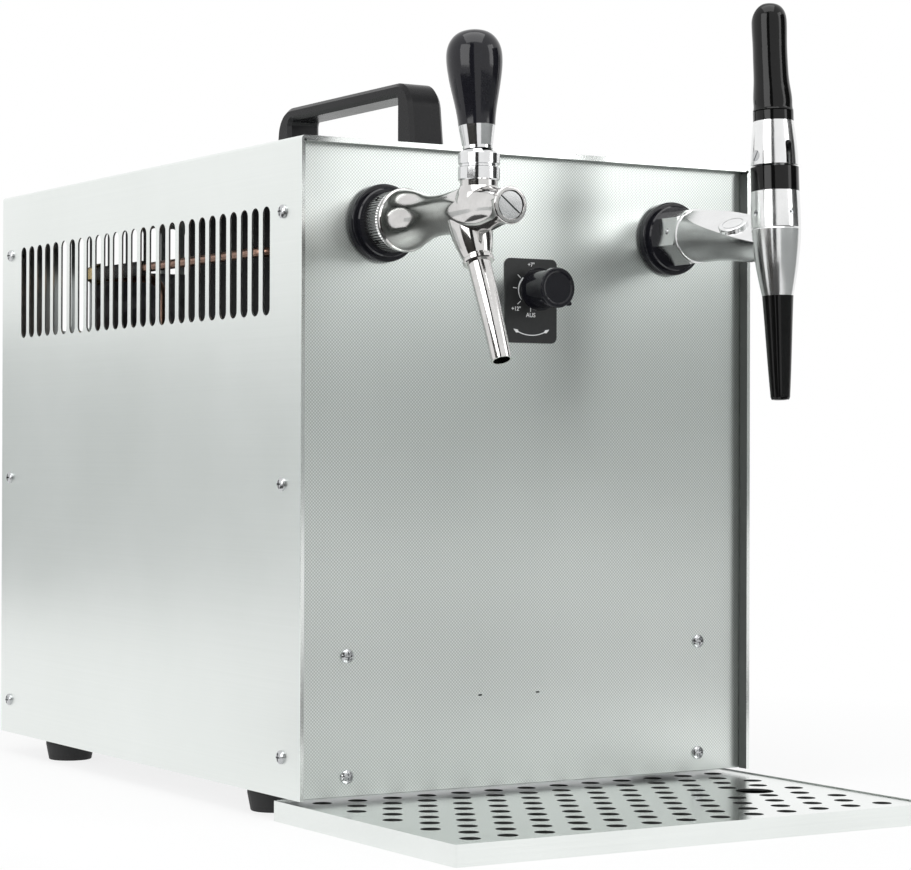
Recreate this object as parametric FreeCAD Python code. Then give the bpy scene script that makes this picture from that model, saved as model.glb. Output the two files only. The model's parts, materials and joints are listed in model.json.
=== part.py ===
import FreeCAD, Part
import math
import os

# Counter-top beer cooler with two taps. Millimetres, +Z up, the front faces -Y.
# Pieces are modelled about the centre of the casing, standing on z = 0, and are
# moved along Y when they are written, so that the origin is the middle of the footprint.

# Casing
casing_width = 338.0
casing_depth = 476.0
casing_height = 400.0
foot_height = 15.0
sheet = 1.2
base_sheet = 1.5
hood_bend = 2.5
side_hem = 1.2
top_hem = 2.0
hem_depth = 8.0
hem_relief_radius = 1.1
front_recess = 8.5
rear_recess = 2.0
return_flange = 26.0
base_flange = 35.0
panel_gap = 0.3
fit_gap = 0.3

# Cooling vents in the sides and the back
vent_width = 9.7
vent_length = 67.0
vent_pitch = 14.95
side_vent_front_inset = 46.05
side_vent_rear_inset = 41.25
side_vent_below_top = 73.2
rear_vent_count = 17
rear_vent_below_top = 58.0
rear_vent_length = 82.0

# Pan head screws of the casing
screw_radius = 2.0
screw_length = 9.0
screw_head_radius = 4.25
screw_head_height = 2.6
screw_slot_width = 1.0
screw_slot_depth = 1.3
screw_hole_gap = 0.15
side_screw_front_inset = 24.0
side_screw_rear_inset = 17.0
side_screw_low = 24.5
side_screw_below_top = 44.5
front_screw_side_inset = 36.5
front_screw_low = 12.0
front_screw_high = 85.5
rear_screw_side_inset = 19.0

# Small slots low in the front panel
drain_slot_length = 2.6
drain_slot_height = 1.0
drain_slot_left_x = -38.0
drain_slot_right_x = 5.0
drain_slot_up = 57.0

# Rubber feet
foot_top_radius = 17.5
foot_bottom_radius = 15.5
foot_inset_x = 23.3
foot_inset_y = 76.5
foot_recess_radius = 6.0
foot_recess_depth = 8.0
foot_screw_radius = 2.5
foot_screw_head_radius = 4.75
foot_screw_head_height = 3.2
foot_screw_length = 12.0

# Carry handle
handle_width = 26.0
handle_height = 61.0
handle_base_half = 102.0
handle_top_half = 94.0
handle_middle_y = -3.5
handle_leg_base = 24.0
handle_leg_top = 16.0
handle_bar_thickness = 9.5
handle_corner_radius = 20.0
handle_inner_radius = 3.5
handle_edge_cut = 2.6
handle_screw_y = 90.0
handle_screw_x = 7.0
handle_screw_depth = 14.0

# Drip tray and its grate
tray_side_reach = 1.0
tray_overhang = 180.0
tray_depth = 213.0
tray_height = 12.5
tray_wall = 1.0
tray_ledge = 3.0
tray_corner = 2.0
grate_thickness = 1.2
grate_drop = 0.8
grate_gap = 0.5
grate_hole_radius = 6.0
grate_pitch = 24.6
grate_first_row = 21.0
grate_margin = 8.0
finger_hole_radius = 12.0
finger_hole_from_side = 54.0
finger_hole_from_front = 106.0
grate_bridge = 2.0

# Thermostat, dial plate and knob
dial_below_top = 87.2
dial_plate_width = 39.0
dial_plate_height = 53.5
dial_plate_thickness = 1.0
dial_plate_corner = 4.0
dial_plate_above_axis = 19.9
thermostat_width = 34.0
thermostat_depth = 28.0
thermostat_height = 40.0
bushing_radius = 5.0
bushing_length = 5.0
shaft_radius = 3.0
thermostat_nut_across = 13.0
thermostat_nut_height = 2.8
knob_start = 10.0
knob_length = 22.0
knob_skirt_radius = 13.5
knob_skirt_thickness = 1.2
knob_radius = 12.0
knob_face_radius = 12.7
knob_face_thickness = 3.6
knob_bore_depth = 15.0
knob_nib_reach = 14.6
knob_nib_width = 6.0
knob_nib_angle = -46.5
capillary_radius = 1.2

# What both taps share
tap_side_inset = 60.5
tap_below_top = 50.0
rosette_radius = 24.0
rosette_step_radius = 21.3
rosette_rim = 5.0
rosette_thickness = 8.5
shank_radius = 11.0
shank_bore = 5.0
shank_tail = 34.0
shank_front = 19.5
shank_nut_across = 32.0
shank_nut_height = 8.0
shank_gap = 0.15
thread_gap = 0.05
tail_radius = 15.0
nut_reach = 40.0
flow_body_start = 25.0
stout_body_start = 28.5
coupling_nut_radius = 18.5
stout_nut_across = 32.0
stout_nut_turn = 10.4
spanner_hole_radius = 1.9
spanner_hole_depth = 2.4

# Flow control tap on the left
flow_bead_radius = 19.6
flow_step_radius = 16.6
flow_step_width = 1.4
flow_bead_width = 4.0
flow_waist_radius = 12.3
flow_waist_at = 66.0
flow_shoulder_radius = 14.2
flow_shoulder_at = 107.0
flow_front_radius = 11.0
flow_length = 146.6
flow_chamber_radius = 6.3
flow_chamber_start = 62.0
flow_screw_head_radius = 8.3
flow_screw_head_height = 2.4
flow_screw_slot = 1.4
flow_screw_length = 15.5
lever_at = 111.8
lever_pivot_up = 18.0
lever_lean = 4.3
lever_ball_radius = 7.5
lever_seat_radius = 7.8
lever_pin_radius = 1.2
lever_pin_half = 9.8
lever_stem_radius = 3.0
lever_finger_radius = 2.0
lever_finger_length = 16.5
lever_finger_room = 8.8
lever_seat_depth = 5.0
lever_open_angle = 26.0
lever_slot_margin = 1.5
collar_radius = 12.15
collar_below = 1.4
collar_groove_at = 6.6
collar_groove_width = 1.0
collar_groove_depth = 0.9
collar_dome_radius = 18.5
ferrule_bottom_radius = 8.8
ferrule_top_radius = 10.7
ferrule_top_at = 30.4
ferrule_gap = 0.4
grip_radius = 16.4
grip_wide_at = 69.0
grip_top_at = 86.9
grip_spigot_radius = 5.0
grip_spigot_length = 9.0
neck_radius = 10.9
valve_seat_at = 84.0
valve_seat_width = 4.0
valve_seat_bore = 4.0
valve_seal_radius = 5.7
valve_seal_width = 4.0
valve_stem_radius = 2.5
valve_piston_start = 108.0
valve_piston_end = 126.5
valve_rod_slot = 7.0
spout_lean = 23.4
spout_socket_forward = 112.3
spout_socket_down = 31.0
socket_length = 34.0
socket_start_radius = 12.8
socket_end_radius = 8.7
socket_bead = 0.5
socket_bore_depth = 12.0
spout_length = 62.0
spout_top_radius = 6.9
spout_tip_radius = 6.0
spout_wall = 1.0
spout_bow = 0.5

# Stout tap on the right
stout_at = 112.5
stout_lean = 2.5
stout_collar_radius = 17.6
stout_collar_width = 3.0
stout_stem_stations = [
    (50.0, 16.4, 0.9),
    (70.0, 16.0, 2.6),
    (88.0, 15.6, 4.8),
    (98.0, 15.2, 5.4),
    (110.5, 14.6, 5.6),
]
stout_passage_fall = 9.0
barrel_radius = 15.5
barrel_top_radius = 15.0
barrel_top_at = 21.8
barrel_bottom_radius = 9.7
barrel_bottom_at = -43.0
barrel_seam_at = -1.5
barrel_seam_depth = 0.35
barrel_chamber_radius = 9.0
barrel_chamber_top = 13.0
set_screw_radius = 1.9
set_screw_depth = 3.2
set_screw_sunk = 0.7
set_screw_up = 8.0
stem_boss_radius = 9.5
stem_boss_at = 78.0
stem_boss_aside = 4.5
stem_boss_rise = 2.2
stem_boss_ring_radius = 7.0
stem_boss_ring_width = 0.7
stem_boss_ring_depth = 0.5
stem_facet_up = 16.4
stem_facet_slope = 0.232
stem_facet_turn = 30.0
stem_facet_room = 40.0
stout_pivot_at = 43.6
stout_lug_x = 8.0
stout_lug_y = 10.0
stout_lug_above = 5.0
stout_pin_radius = 2.5
stout_pin_head_radius = 3.4
stout_pin_head_height = 1.4
pin_running_gap = 0.05
cup_rim_drop = 1.0
sleeve_bottom_radius = 14.8
sleeve_bottom_drop = 5.5
sleeve_top_radius = 12.6
sleeve_top_at = 65.6
sleeve_bore_radius = 11.6
sleeve_bore_above = 9.0
sleeve_slot_half = 2.2
stout_grip_line_at = 72.0
stout_grip_stations = [
    (78.0, 12.1, 0.15),
    (90.0, 11.2, 0.9),
    (103.0, 10.8, 1.5),
    (115.0, 10.75, 1.7),
    (127.0, 11.0, 1.8),
    (131.5, 10.7, 1.8),
    (134.4, 9.9, 1.8),
    (137.5, 7.9, 1.8),
    (139.4, 4.9, 1.8),
    (140.0, 1.5, 1.8),
]
stout_grip_slant_y = 8.4
stout_grip_slant_at = 127.4
stout_grip_slant_turn = 55.0
stout_grip_spigot_radius = 7.0
stout_grip_spigot_length = 8.0
nozzle_length = 64.4
nozzle_tip_radius = 6.05
nozzle_bore_radius = 4.0
nozzle_spigot_length = 7.0
restrictor_thickness = 2.0
restrictor_hole_radius = 0.9
restrictor_hole_ring = 4.2
restrictor_hole_count = 5

# Cooling block in its insulation
block_side_room = 56.0
block_above_taps = 13.0
machine_room_depth = 226.0
jacket_wall = 12.0
jacket_front_gap = 36.3
bracket_height = 101.5
bracket_shelf = 25.0
bracket_inset = 0.5
tap_tube_entry = 8.0

# Keg line inlets at the back
inlet_side_inset = 57.0
inlet_spacing = 32.0
inlet_up = 200.0
inlet_thread_radius = 8.0
inlet_thread_length = 28.0
inlet_hex_across = 22.0
inlet_hex_height = 6.0
inlet_tail = 6.0
inlet_bore = 3.0
inlet_line_radius = 4.0

# Refrigeration
compressor_side_inset = 79.0
compressor_back_inset = 138.0
compressor_radius = 60.0
compressor_height = 158.0
compressor_seam_width = 2.0
compressor_seam_at = 74.0
compressor_plate = 3.0
compressor_plate_half = 58.0
mount_height = 12.0
mount_radius = 9.0
mount_spacing_half = 46.0
stub_radius = 4.6
stub_length = 4.0
suction_stub_up = 88.0
discharge_stub_x = 20.0
condenser_compressor_gap = 5.0
condenser_side_inset = 17.0
condenser_back_inset = 108.0
condenser_thickness = 36.0
condenser_low = 45.0
condenser_below_top = 55.0
condenser_plate = 2.0
fin_pitch = 5.0
fin_thickness = 0.8
fin_inset = 1.0
condenser_tube_radius = 4.5
condenser_tube_rows = 7
pipe_radius = 3.2
pipe_bend = 12.0
suction_side_inset = 19.0
suction_below_top = 64.0
suction_front_inset = 88.0
suction_bare_end_inset = 213.0
suction_sleeve_end_inset = 138.0
suction_turn_gap = 14.0
suction_over_compressor = 30.0
suction_sleeve_radius = 5.0
suction_nut_across = 13.0
suction_nut_length = 12.0
suction_down_inset = 60.0
discharge_rise = 110.0
discharge_back_inset = 83.0
drier_radius = 9.5
drier_length = 80.0
drier_side_inset = 29.0
drier_up = 55.0
thin_tube_radius = 1.5
thin_tube_from_block = 12.0
thin_tube_up = 185.0

# Fan
fan_side_inset = 109.0
fan_up = 150.0
fan_hole_radius = 92.0
shroud_box_gap = 4.0
shroud_ear_width = 20.0
shroud_ear_up = 260.0
shroud_side_inset = 9.0
shroud_below_top = 55.0
shroud_back_inset = 42.0
fan_motor_radius = 30.0
fan_motor_length = 28.0
fan_bracket_width = 14.0
fan_shaft_radius = 3.0
fan_shaft_gap = 0.05
fan_hub_radius = 26.0
fan_hub_start = 7.0
fan_hub_depth = 22.0
fan_blade_reach = 86.0
fan_blade_count = 5
fan_blade_thickness = 1.6
fan_blade_chord = 30.0
fan_blade_pitch = 32.0
guard_wire_radius = 1.2
guard_ring_step = 15.0
guard_ring_count = 6
guard_lug_radius = 7.0

# Mains inlet and electrical box
power_inlet_side_inset = 39.0
power_inlet_up = 55.0
power_inlet_width = 27.0
power_inlet_height = 20.0
power_inlet_flange = 2.0
power_inlet_border = 6.0
power_inlet_cavity = 16.0
power_pin_length = 10.0
electrical_width = 62.0
electrical_depth = 41.0
electrical_height = 75.0
electrical_gap = 11.0

# Places worked out from the sizes above
half_width = casing_width / 2
front_y = -casing_depth / 2
back_y = casing_depth / 2
casing_bottom = foot_height
casing_top = foot_height + casing_height
hood_inner_x = half_width - sheet
hood_inner_z = casing_top - sheet
panel_y = front_y + front_recess
panel_back_y = panel_y + sheet
rear_y = back_y - rear_recess
rear_inner_y = rear_y - sheet
panel_half = hood_inner_x - panel_gap
base_half = panel_half - sheet
base_top = casing_bottom + base_sheet
side_vent_row = casing_depth - side_vent_front_inset - side_vent_rear_inset
side_vent_count = round(side_vent_row / vent_pitch) + 1
front_screw_x = half_width - front_screw_side_inset
rear_screw_x = half_width - rear_screw_side_inset
tray_width = casing_width + 2 * tray_side_reach
tray_front_y = front_y - tray_overhang
grate_row_width = tray_width - 2 * (grate_margin + grate_hole_radius)
grate_hole_columns = int(grate_row_width / grate_pitch) + 1
finger_hole_x = tray_width / 2 - finger_hole_from_side
inlet_end_y = rear_y + inlet_hex_height + inlet_thread_length
shift_y = -(tray_front_y + inlet_end_y) / 2
tap_x = half_width - tap_side_inset
tap_z = casing_top - tap_below_top
dial_z = casing_top - dial_below_top
block_width = casing_width - 2 * block_side_room
bracket_x = block_width / 2 - bracket_inset
jacket_half = block_width / 2 + jacket_wall
jacket_front_y = panel_back_y + jacket_front_gap
jacket_back_y = back_y - machine_room_depth
block_depth = jacket_back_y - jacket_front_y - 2 * jacket_wall
jacket_low = base_top + bracket_height
block_front_y = jacket_front_y + jacket_wall
block_low = jacket_low + jacket_wall
block_height = tap_z + block_above_taps - block_low
jacket_high = block_low + block_height + jacket_wall
compressor_x = compressor_side_inset - half_width
compressor_y = back_y - compressor_back_inset
condenser_left = compressor_x + compressor_radius + condenser_compressor_gap
condenser_right = half_width - condenser_side_inset
condenser_front = back_y - condenser_back_inset
condenser_height = casing_height - condenser_below_top - condenser_low
suction_x = suction_side_inset - half_width
suction_z = casing_top - suction_below_top
suction_start_y = front_y + suction_front_inset
suction_bare_end_y = back_y - suction_bare_end_inset
suction_sleeve_end_y = back_y - suction_sleeve_end_inset
suction_down_y = back_y - suction_down_inset
discharge_y = back_y - discharge_back_inset
drier_x = half_width - drier_side_inset
thin_tube_y = jacket_back_y - thin_tube_from_block
inlet_x = inlet_side_inset - half_width
power_inlet_x = power_inlet_side_inset - half_width
fan_x = half_width - fan_side_inset
shroud_left = power_inlet_x + electrical_width / 2 + shroud_box_gap
shroud_right = half_width - shroud_side_inset
shroud_y = back_y - shroud_back_inset
fan_z = casing_bottom + fan_up
shroud_back_y = shroud_y + sheet
fan_shaft_end = shroud_y + fan_hub_start + fan_hub_depth - 4

up = FreeCAD.Vector(0, 0, 1)
down = FreeCAD.Vector(0, 0, -1)
outward = FreeCAD.Vector(0, -1, 0)
backward = FreeCAD.Vector(0, 1, 0)
across = FreeCAD.Vector(1, 0, 0)


def vec(x, y, z):
    return FreeCAD.Vector(x, y, z)


def block(x0, x1, y0, y1, z0, z1):
    return Part.makeBox(x1 - x0, y1 - y0, z1 - z0, vec(x0, y0, z0))


def rod(radius, start, direction, length):
    return Part.makeCylinder(radius, length, start, direction)


def turned(start, steps, base, direction):
    """A solid of revolution. Points are (radius, distance along the axis). Each step is a list:
    one point makes a line, two an arc through the first, and more a smooth curve."""
    edges = []
    here = vec(start[0], 0, start[1])
    first = here
    for step in steps:
        points = [vec(radius, 0, along) for radius, along in step]
        if len(points) == 1:
            edges.append(Part.makeLine(here, points[0]))
        elif len(points) == 2:
            edges.append(Part.Arc(here, points[0], points[1]).toShape())
        else:
            curve = Part.BSplineCurve()
            curve.interpolate([here] + points)
            edges.append(curve.toShape())
        here = points[-1]
    edges.append(Part.makeLine(here, first))
    face = Part.Face(Part.Wire(edges))
    solid = face.revolve(vec(0, 0, 0), up, 360)
    solid.Placement = FreeCAD.Placement(base, FreeCAD.Rotation(up, direction))
    return solid


def rounded_outline(corners):
    """A closed wire in the XY plane. Each corner is (x, y, radius)."""
    count = len(corners)
    arcs = []
    for i in range(count):
        before = vec(*corners[i - 1][:2], 0)
        here = vec(*corners[i][:2], 0)
        after = vec(*corners[(i + 1) % count][:2], 0)
        radius = corners[i][2]
        to_before = (before - here).normalize()
        to_after = (after - here).normalize()
        half = to_before.getAngle(to_after) / 2
        if radius <= 0:
            arcs.append((here, None, here))
            continue
        reach = radius / math.tan(half)
        middle = (to_before + to_after).normalize()
        nearest = here + middle * (radius / math.sin(half) - radius)
        arcs.append((here + to_before * reach, nearest, here + to_after * reach))
    edges = []
    for i in range(count):
        start, middle, end = arcs[i]
        if middle is not None:
            edges.append(Part.Arc(start, middle, end).toShape())
        following = arcs[(i + 1) % count][0]
        if (following - end).Length > 1e-6:
            edges.append(Part.makeLine(end, following))
    return Part.Wire(edges)


def prism(corners, base, x_axis, direction, length):
    """A rounded outline, set with its X along x_axis, extruded along direction."""
    solid = Part.Face(rounded_outline(corners)).extrude(up * length)
    y_axis = direction.cross(x_axis)
    solid.Placement = FreeCAD.Placement(base, FreeCAD.Rotation(x_axis, y_axis, direction, "ZXY"))
    return solid


def rectangle(width, height, radius):
    x = width / 2
    y = height / 2
    return [(-x, -y, radius), (x, -y, radius), (x, y, radius), (-x, y, radius)]


def polygon(sides, across_flats):
    reach = across_flats / 2 / math.cos(math.pi / sides)
    turns = [2 * math.pi * (i + 0.5) / sides for i in range(sides)]
    return [(reach * math.cos(turn), reach * math.sin(turn), 0) for turn in turns]


def slot_cutter(centre, length, width, direction, depth):
    """A vertical slot with round ends, cut along direction, half the depth each way."""
    outline = rectangle(width, length, width / 2 - 0.001)
    return prism(outline, centre - direction * (depth / 2), direction.cross(up) * -1, direction, depth)


def pipe(points, radius, bend):
    """A round bar along straight runs joined by tangent arcs."""
    edges = []
    here = points[0]
    for i in range(1, len(points) - 1):
        to_before = (points[i - 1] - points[i]).normalize()
        to_after = (points[i + 1] - points[i]).normalize()
        half = to_before.getAngle(to_after) / 2
        reach = bend / math.tan(half)
        start = points[i] + to_before * reach
        end = points[i] + to_after * reach
        middle = (to_before + to_after).normalize()
        nearest = points[i] + middle * (bend / math.sin(half) - bend)
        edges.append(Part.makeLine(here, start))
        edges.append(Part.Arc(start, nearest, end).toShape())
        here = end
    edges.append(Part.makeLine(here, points[-1]))
    start_direction = (points[1] - points[0]).normalize()
    ring = Part.Wire([Part.makeCircle(radius, points[0], start_direction)])
    return Part.Wire(edges).makePipeShell([ring], True, False)


def joined(first, *others):
    return first.multiFuse(list(others)).removeSplitter()


def save(node, *solids):
    shape = solids[0] if len(solids) == 1 else Part.makeCompound(list(solids))
    shape = shape.copy()
    shape.translate(vec(0, shift_y, 0))
    shape.exportStep("parts/" + node + ".step")


def pan_screw(seat, direction, length=screw_length):
    """A cross recess screw. seat is the middle of the face under its head."""
    shoulder = screw_head_height * 0.45
    screw = turned(
        (0, -length),
        [
            [(screw_radius, -length)],
            [(screw_radius, 0)],
            [(screw_head_radius, 0)],
            [(screw_head_radius * 0.98, shoulder)],
            [(screw_head_radius * 0.68, screw_head_height * 0.88), (0, screw_head_height)],
        ],
        seat,
        direction,
    )
    side = up if abs(direction.z) < 0.5 else across
    other = direction.cross(side)
    reach = screw_head_radius * 0.62
    for arm in (side, other):
        bottom = seat + direction * (screw_head_height - screw_slot_depth)
        cutter = prism(rectangle(2 * reach, screw_slot_width, 0), bottom, arm, direction, screw_head_height)
        screw = screw.cut(cutter)
    return screw


def screw_hole(seat, direction, reach):
    return rod(screw_radius + screw_hole_gap, seat - direction * reach, direction, 2 * reach)


# Screw places
side_screw_columns = [front_y + side_screw_front_inset, back_y - side_screw_rear_inset]
side_screw_high = casing_height - side_screw_below_top
side_screw_middle = (side_screw_low + side_screw_high) / 2
side_screw_rows = [casing_bottom + height for height in (side_screw_low, side_screw_middle, side_screw_high)]
side_screw_seats = [
    (vec(side * half_width, y, z), across * side)
    for side in (-1, 1)
    for y in side_screw_columns
    for z in side_screw_rows
]
front_screw_rows = [casing_bottom + height for height in (front_screw_low, front_screw_high)]
front_screw_seats = [
    (vec(side * front_screw_x, panel_y, z), outward) for side in (-1, 1) for z in front_screw_rows
]
rear_screw_seats = [
    (vec(side * rear_screw_x, rear_y, casing_bottom + front_screw_low), backward) for side in (-1, 1)
]
guard_ring_outer = fan_hole_radius + guard_wire_radius + guard_lug_radius / 2
guard_lug_reach = guard_ring_outer / math.sqrt(2)
guard_screw_seats = [
    (vec(fan_x + sx * guard_lug_reach, rear_y + sheet, fan_z + sz * guard_lug_reach), backward)
    for sx in (-1, 1)
    for sz in (-1, 1)
]


def cut_screw_holes(solid, seats, reach):
    return solid.cut(Part.makeCompound([screw_hole(seat, direction, reach) for seat, direction in seats]))


def cover_hood():
    """Both sides and the top, folded from one sheet, with hems along the front edge."""
    hood = block(-half_width, half_width, front_y, back_y, casing_bottom, casing_top)
    long_edges = [
        edge
        for edge in hood.Edges
        if abs(edge.BoundBox.YLength - casing_depth) < 1e-6 and edge.BoundBox.ZMin > casing_top - 1
    ]
    hood = hood.makeFillet(hood_bend, long_edges)
    inside = block(-hood_inner_x, hood_inner_x, front_y - 1, back_y + 1, casing_bottom - 1, hood_inner_z)
    hood = hood.cut(inside)
    hem_back = front_y + hem_depth
    hems = [block(-hood_inner_x, hood_inner_x, front_y, hem_back, hood_inner_z - top_hem, hood_inner_z)]
    for side in (-1, 1):
        edge = side * hood_inner_x
        inner = edge - side * side_hem
        hems.append(block(min(edge, inner), max(edge, inner), front_y, hem_back, casing_bottom, hood_inner_z))
    hood = joined(hood, *hems)
    reliefs = []
    for side in (-1, 1):
        corner = vec(side * (hood_inner_x - side_hem), front_y - 1, hood_inner_z - top_hem)
        reliefs.append(rod(hem_relief_radius, corner, backward, hem_depth + 2))
    first_vent = front_y + side_vent_front_inset
    vents = []
    for i in range(side_vent_count):
        centre = vec(0, first_vent + i * vent_pitch, casing_top - side_vent_below_top)
        vents.append(slot_cutter(centre, vent_length, vent_width, across, casing_width + 2))
    hood = hood.cut(Part.makeCompound(vents + reliefs))
    hood = cut_screw_holes(hood, side_screw_seats, 2 * sheet)
    bolt_hole = foot_screw_radius + screw_hole_gap
    bolts = [rod(bolt_hole, seat, up, 2 * sheet) for seat in handle_screw_seats(sheet)]
    return hood.cut(Part.makeCompound(bolts))


def flanged_panel(face_y, direction):
    """A sheet with three edges folded inwards. direction points from its face into the casing."""
    inward = 1 if direction.y > 0 else -1
    low = casing_bottom + panel_gap
    high = hood_inner_z - panel_gap

    def span(depth):
        return min(face_y, face_y + inward * depth), max(face_y, face_y + inward * depth)

    plate = block(-panel_half, panel_half, *span(sheet), low, high)
    folds = [block(-panel_half, panel_half, *span(return_flange / 2), high - sheet, high)]
    for side in (-1, 1):
        outer = side * panel_half
        inner = outer - side * sheet
        folds.append(block(min(outer, inner), max(outer, inner), *span(return_flange), low, high))
    return joined(plate, *folds)


def front_panel():
    panel = flanged_panel(panel_y, backward)
    panel = cut_screw_holes(panel, side_screw_seats, 3 * sheet)
    panel = cut_screw_holes(panel, front_screw_seats, 2 * sheet)
    before = vec(0, panel_y - 1, 0)
    through = sheet + 2
    cutters = [rod(bushing_radius + shank_gap, before + up * dial_z, backward, through)]
    for side in (-1, 1):
        cutters.append(rod(shank_radius + shank_gap, before + vec(side * tap_x, 0, tap_z), backward, through))
    for x in (drain_slot_left_x, drain_slot_right_x):
        low = casing_bottom + drain_slot_up
        cutters.append(
            block(x, x + drain_slot_length, panel_y - 1, panel_back_y + 1, low, low + drain_slot_height)
        )
    return panel.cut(Part.makeCompound(cutters))


def rear_panel():
    panel = flanged_panel(rear_y, outward)
    panel = cut_screw_holes(panel, side_screw_seats, 3 * sheet)
    panel = cut_screw_holes(panel, rear_screw_seats + guard_screw_seats, 3 * sheet)
    behind = vec(0, rear_inner_y - 1, 0)
    through = sheet + 2
    cutters = [rod(fan_hole_radius, behind + vec(fan_x, 0, fan_z), backward, through)]
    for i in range(2):
        place = vec(inlet_x, 0, casing_bottom + inlet_up + i * inlet_spacing)
        cutters.append(rod(inlet_thread_radius + shank_gap, behind + place, backward, through))
    cutters.append(
        prism(
            rectangle(power_inlet_width + 2 * shank_gap, power_inlet_height + 2 * shank_gap, 1.0),
            behind + vec(power_inlet_x, 0, casing_bottom + power_inlet_up),
            across,
            backward,
            through,
        )
    )
    first = -vent_pitch * (rear_vent_count - 1) / 2
    for i in range(rear_vent_count):
        x = first + i * vent_pitch
        centre = vec(x, (rear_y + rear_inner_y) / 2, casing_top - rear_vent_below_top)
        cutters.append(slot_cutter(centre, rear_vent_length, vent_width, backward, through))
    return panel.cut(Part.makeCompound(cutters))


def foot_places():
    return [
        vec(side * (half_width - foot_inset_x), end * (back_y - foot_inset_y), casing_bottom)
        for side in (-1, 1)
        for end in (-1, 1)
    ]


def base_pan():
    """The chassis floor with four edges turned up."""
    pan = block(-base_half, base_half, panel_back_y, rear_inner_y, casing_bottom, casing_bottom + base_flange)
    pan = pan.cut(
        block(
            -base_half + base_sheet,
            base_half - base_sheet,
            panel_back_y + base_sheet,
            rear_inner_y - base_sheet,
            base_top,
            casing_bottom + base_flange + 1,
        )
    )
    pan = cut_screw_holes(pan, side_screw_seats, 4 * sheet)
    pan = cut_screw_holes(pan, front_screw_seats + rear_screw_seats, 4 * sheet)
    bolt_hole = foot_screw_radius + screw_hole_gap
    feet = [rod(bolt_hole, place - up, up, base_sheet + 2) for place in foot_places()]
    mounts = [rod(mount_radius * 0.45, place - up * 2, up, base_sheet + 3) for place in mount_places()]
    return pan.cut(Part.makeCompound(feet + mounts))


def rubber_foot(place):
    foot = turned(
        (0, 0),
        [
            [(foot_top_radius, 0)],
            [(foot_top_radius, foot_height * 0.25)],
            [(foot_bottom_radius, foot_height - 1.0)],
            [(foot_bottom_radius - 0.3, foot_height - 0.3), (foot_bottom_radius - 1.0, foot_height)],
            [(foot_recess_radius, foot_height)],
            [(foot_recess_radius, foot_height - foot_recess_depth)],
            [(0, foot_height - foot_recess_depth)],
        ],
        place,
        down,
    )
    start = place + down * (foot_height + 1)
    return foot.cut(rod(foot_screw_radius + screw_hole_gap, start, up, foot_height + 2))


def socket_screw(seat, direction, length):
    """A cap head screw. seat is the middle of the face under its head."""
    screw = rod(foot_screw_radius, seat - direction * length, direction, length)
    head = rod(foot_screw_head_radius, seat, direction, foot_screw_head_height)
    top = seat + direction * (foot_screw_head_height / 2)
    side = across if abs(direction.x) < 0.5 else up
    key = prism(polygon(6, foot_screw_head_radius), top, side, direction, foot_screw_head_height)
    return joined(screw, head).cut(key)


def foot_screw(place):
    return socket_screw(place + down * (foot_height - foot_recess_depth), down, foot_screw_length)


def handle_screw_seats(drop):
    return [
        vec(sx * handle_screw_x, handle_middle_y + sy * handle_screw_y, casing_top - drop)
        for sx in (-1, 1)
        for sy in (-1, 1)
    ]


def handle_screw(seat):
    return socket_screw(seat, down, handle_screw_depth)


def carry_handle():
    base = handle_base_half
    top = handle_top_half
    inner_base = base - handle_leg_base
    inner_top = top - handle_leg_top
    inner_height = handle_height - handle_bar_thickness
    outline = [
        (-base, 0, 0),
        (-inner_base, 0, 0),
        (-inner_top, inner_height, handle_inner_radius),
        (inner_top, inner_height, handle_inner_radius),
        (inner_base, 0, 0),
        (base, 0, 0),
        (top, handle_height, handle_corner_radius),
        (-top, handle_height, handle_corner_radius),
    ]
    start = vec(-handle_width / 2, handle_middle_y, casing_top)
    handle = prism(outline, start, backward, across, handle_width)
    rims = [
        edge
        for edge in handle.Edges
        if edge.BoundBox.XLength < 1e-6 and edge.BoundBox.ZMax > casing_top + 1
    ]
    handle = handle.makeChamfer(handle_edge_cut, rims)
    depth = handle_screw_depth - sheet + 1
    bores = [rod(foot_screw_radius + thread_gap, seat, up, depth) for seat in handle_screw_seats(0)]
    return handle.cut(Part.makeCompound(bores))


def tray_outline(inset):
    half = tray_width / 2 - inset
    front = tray_front_y + inset
    back = tray_front_y + tray_depth - inset
    radius = max(tray_corner - inset, 0.3)
    return [(-half, front, radius), (half, front, radius), (half, back, radius), (-half, back, radius)]


def tray_slab(inset, low, high):
    return Part.Face(rounded_outline(tray_outline(inset))).extrude(up * (high - low)).translated(up * low)


grate_top = tray_height - grate_drop
grate_low = grate_top - grate_thickness


def drip_tray_pan():
    """A shallow folded pan with an inner ledge for the grate."""
    pan = tray_slab(0, 0, tray_height)
    pan = pan.cut(tray_slab(tray_wall, grate_low, tray_height + 1))
    pan = pan.cut(tray_slab(tray_wall + tray_ledge, tray_wall, grate_low + 1))
    under_ledge = tray_slab(tray_wall, tray_wall, grate_low - tray_wall)
    return pan.cut(under_ledge)


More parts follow.
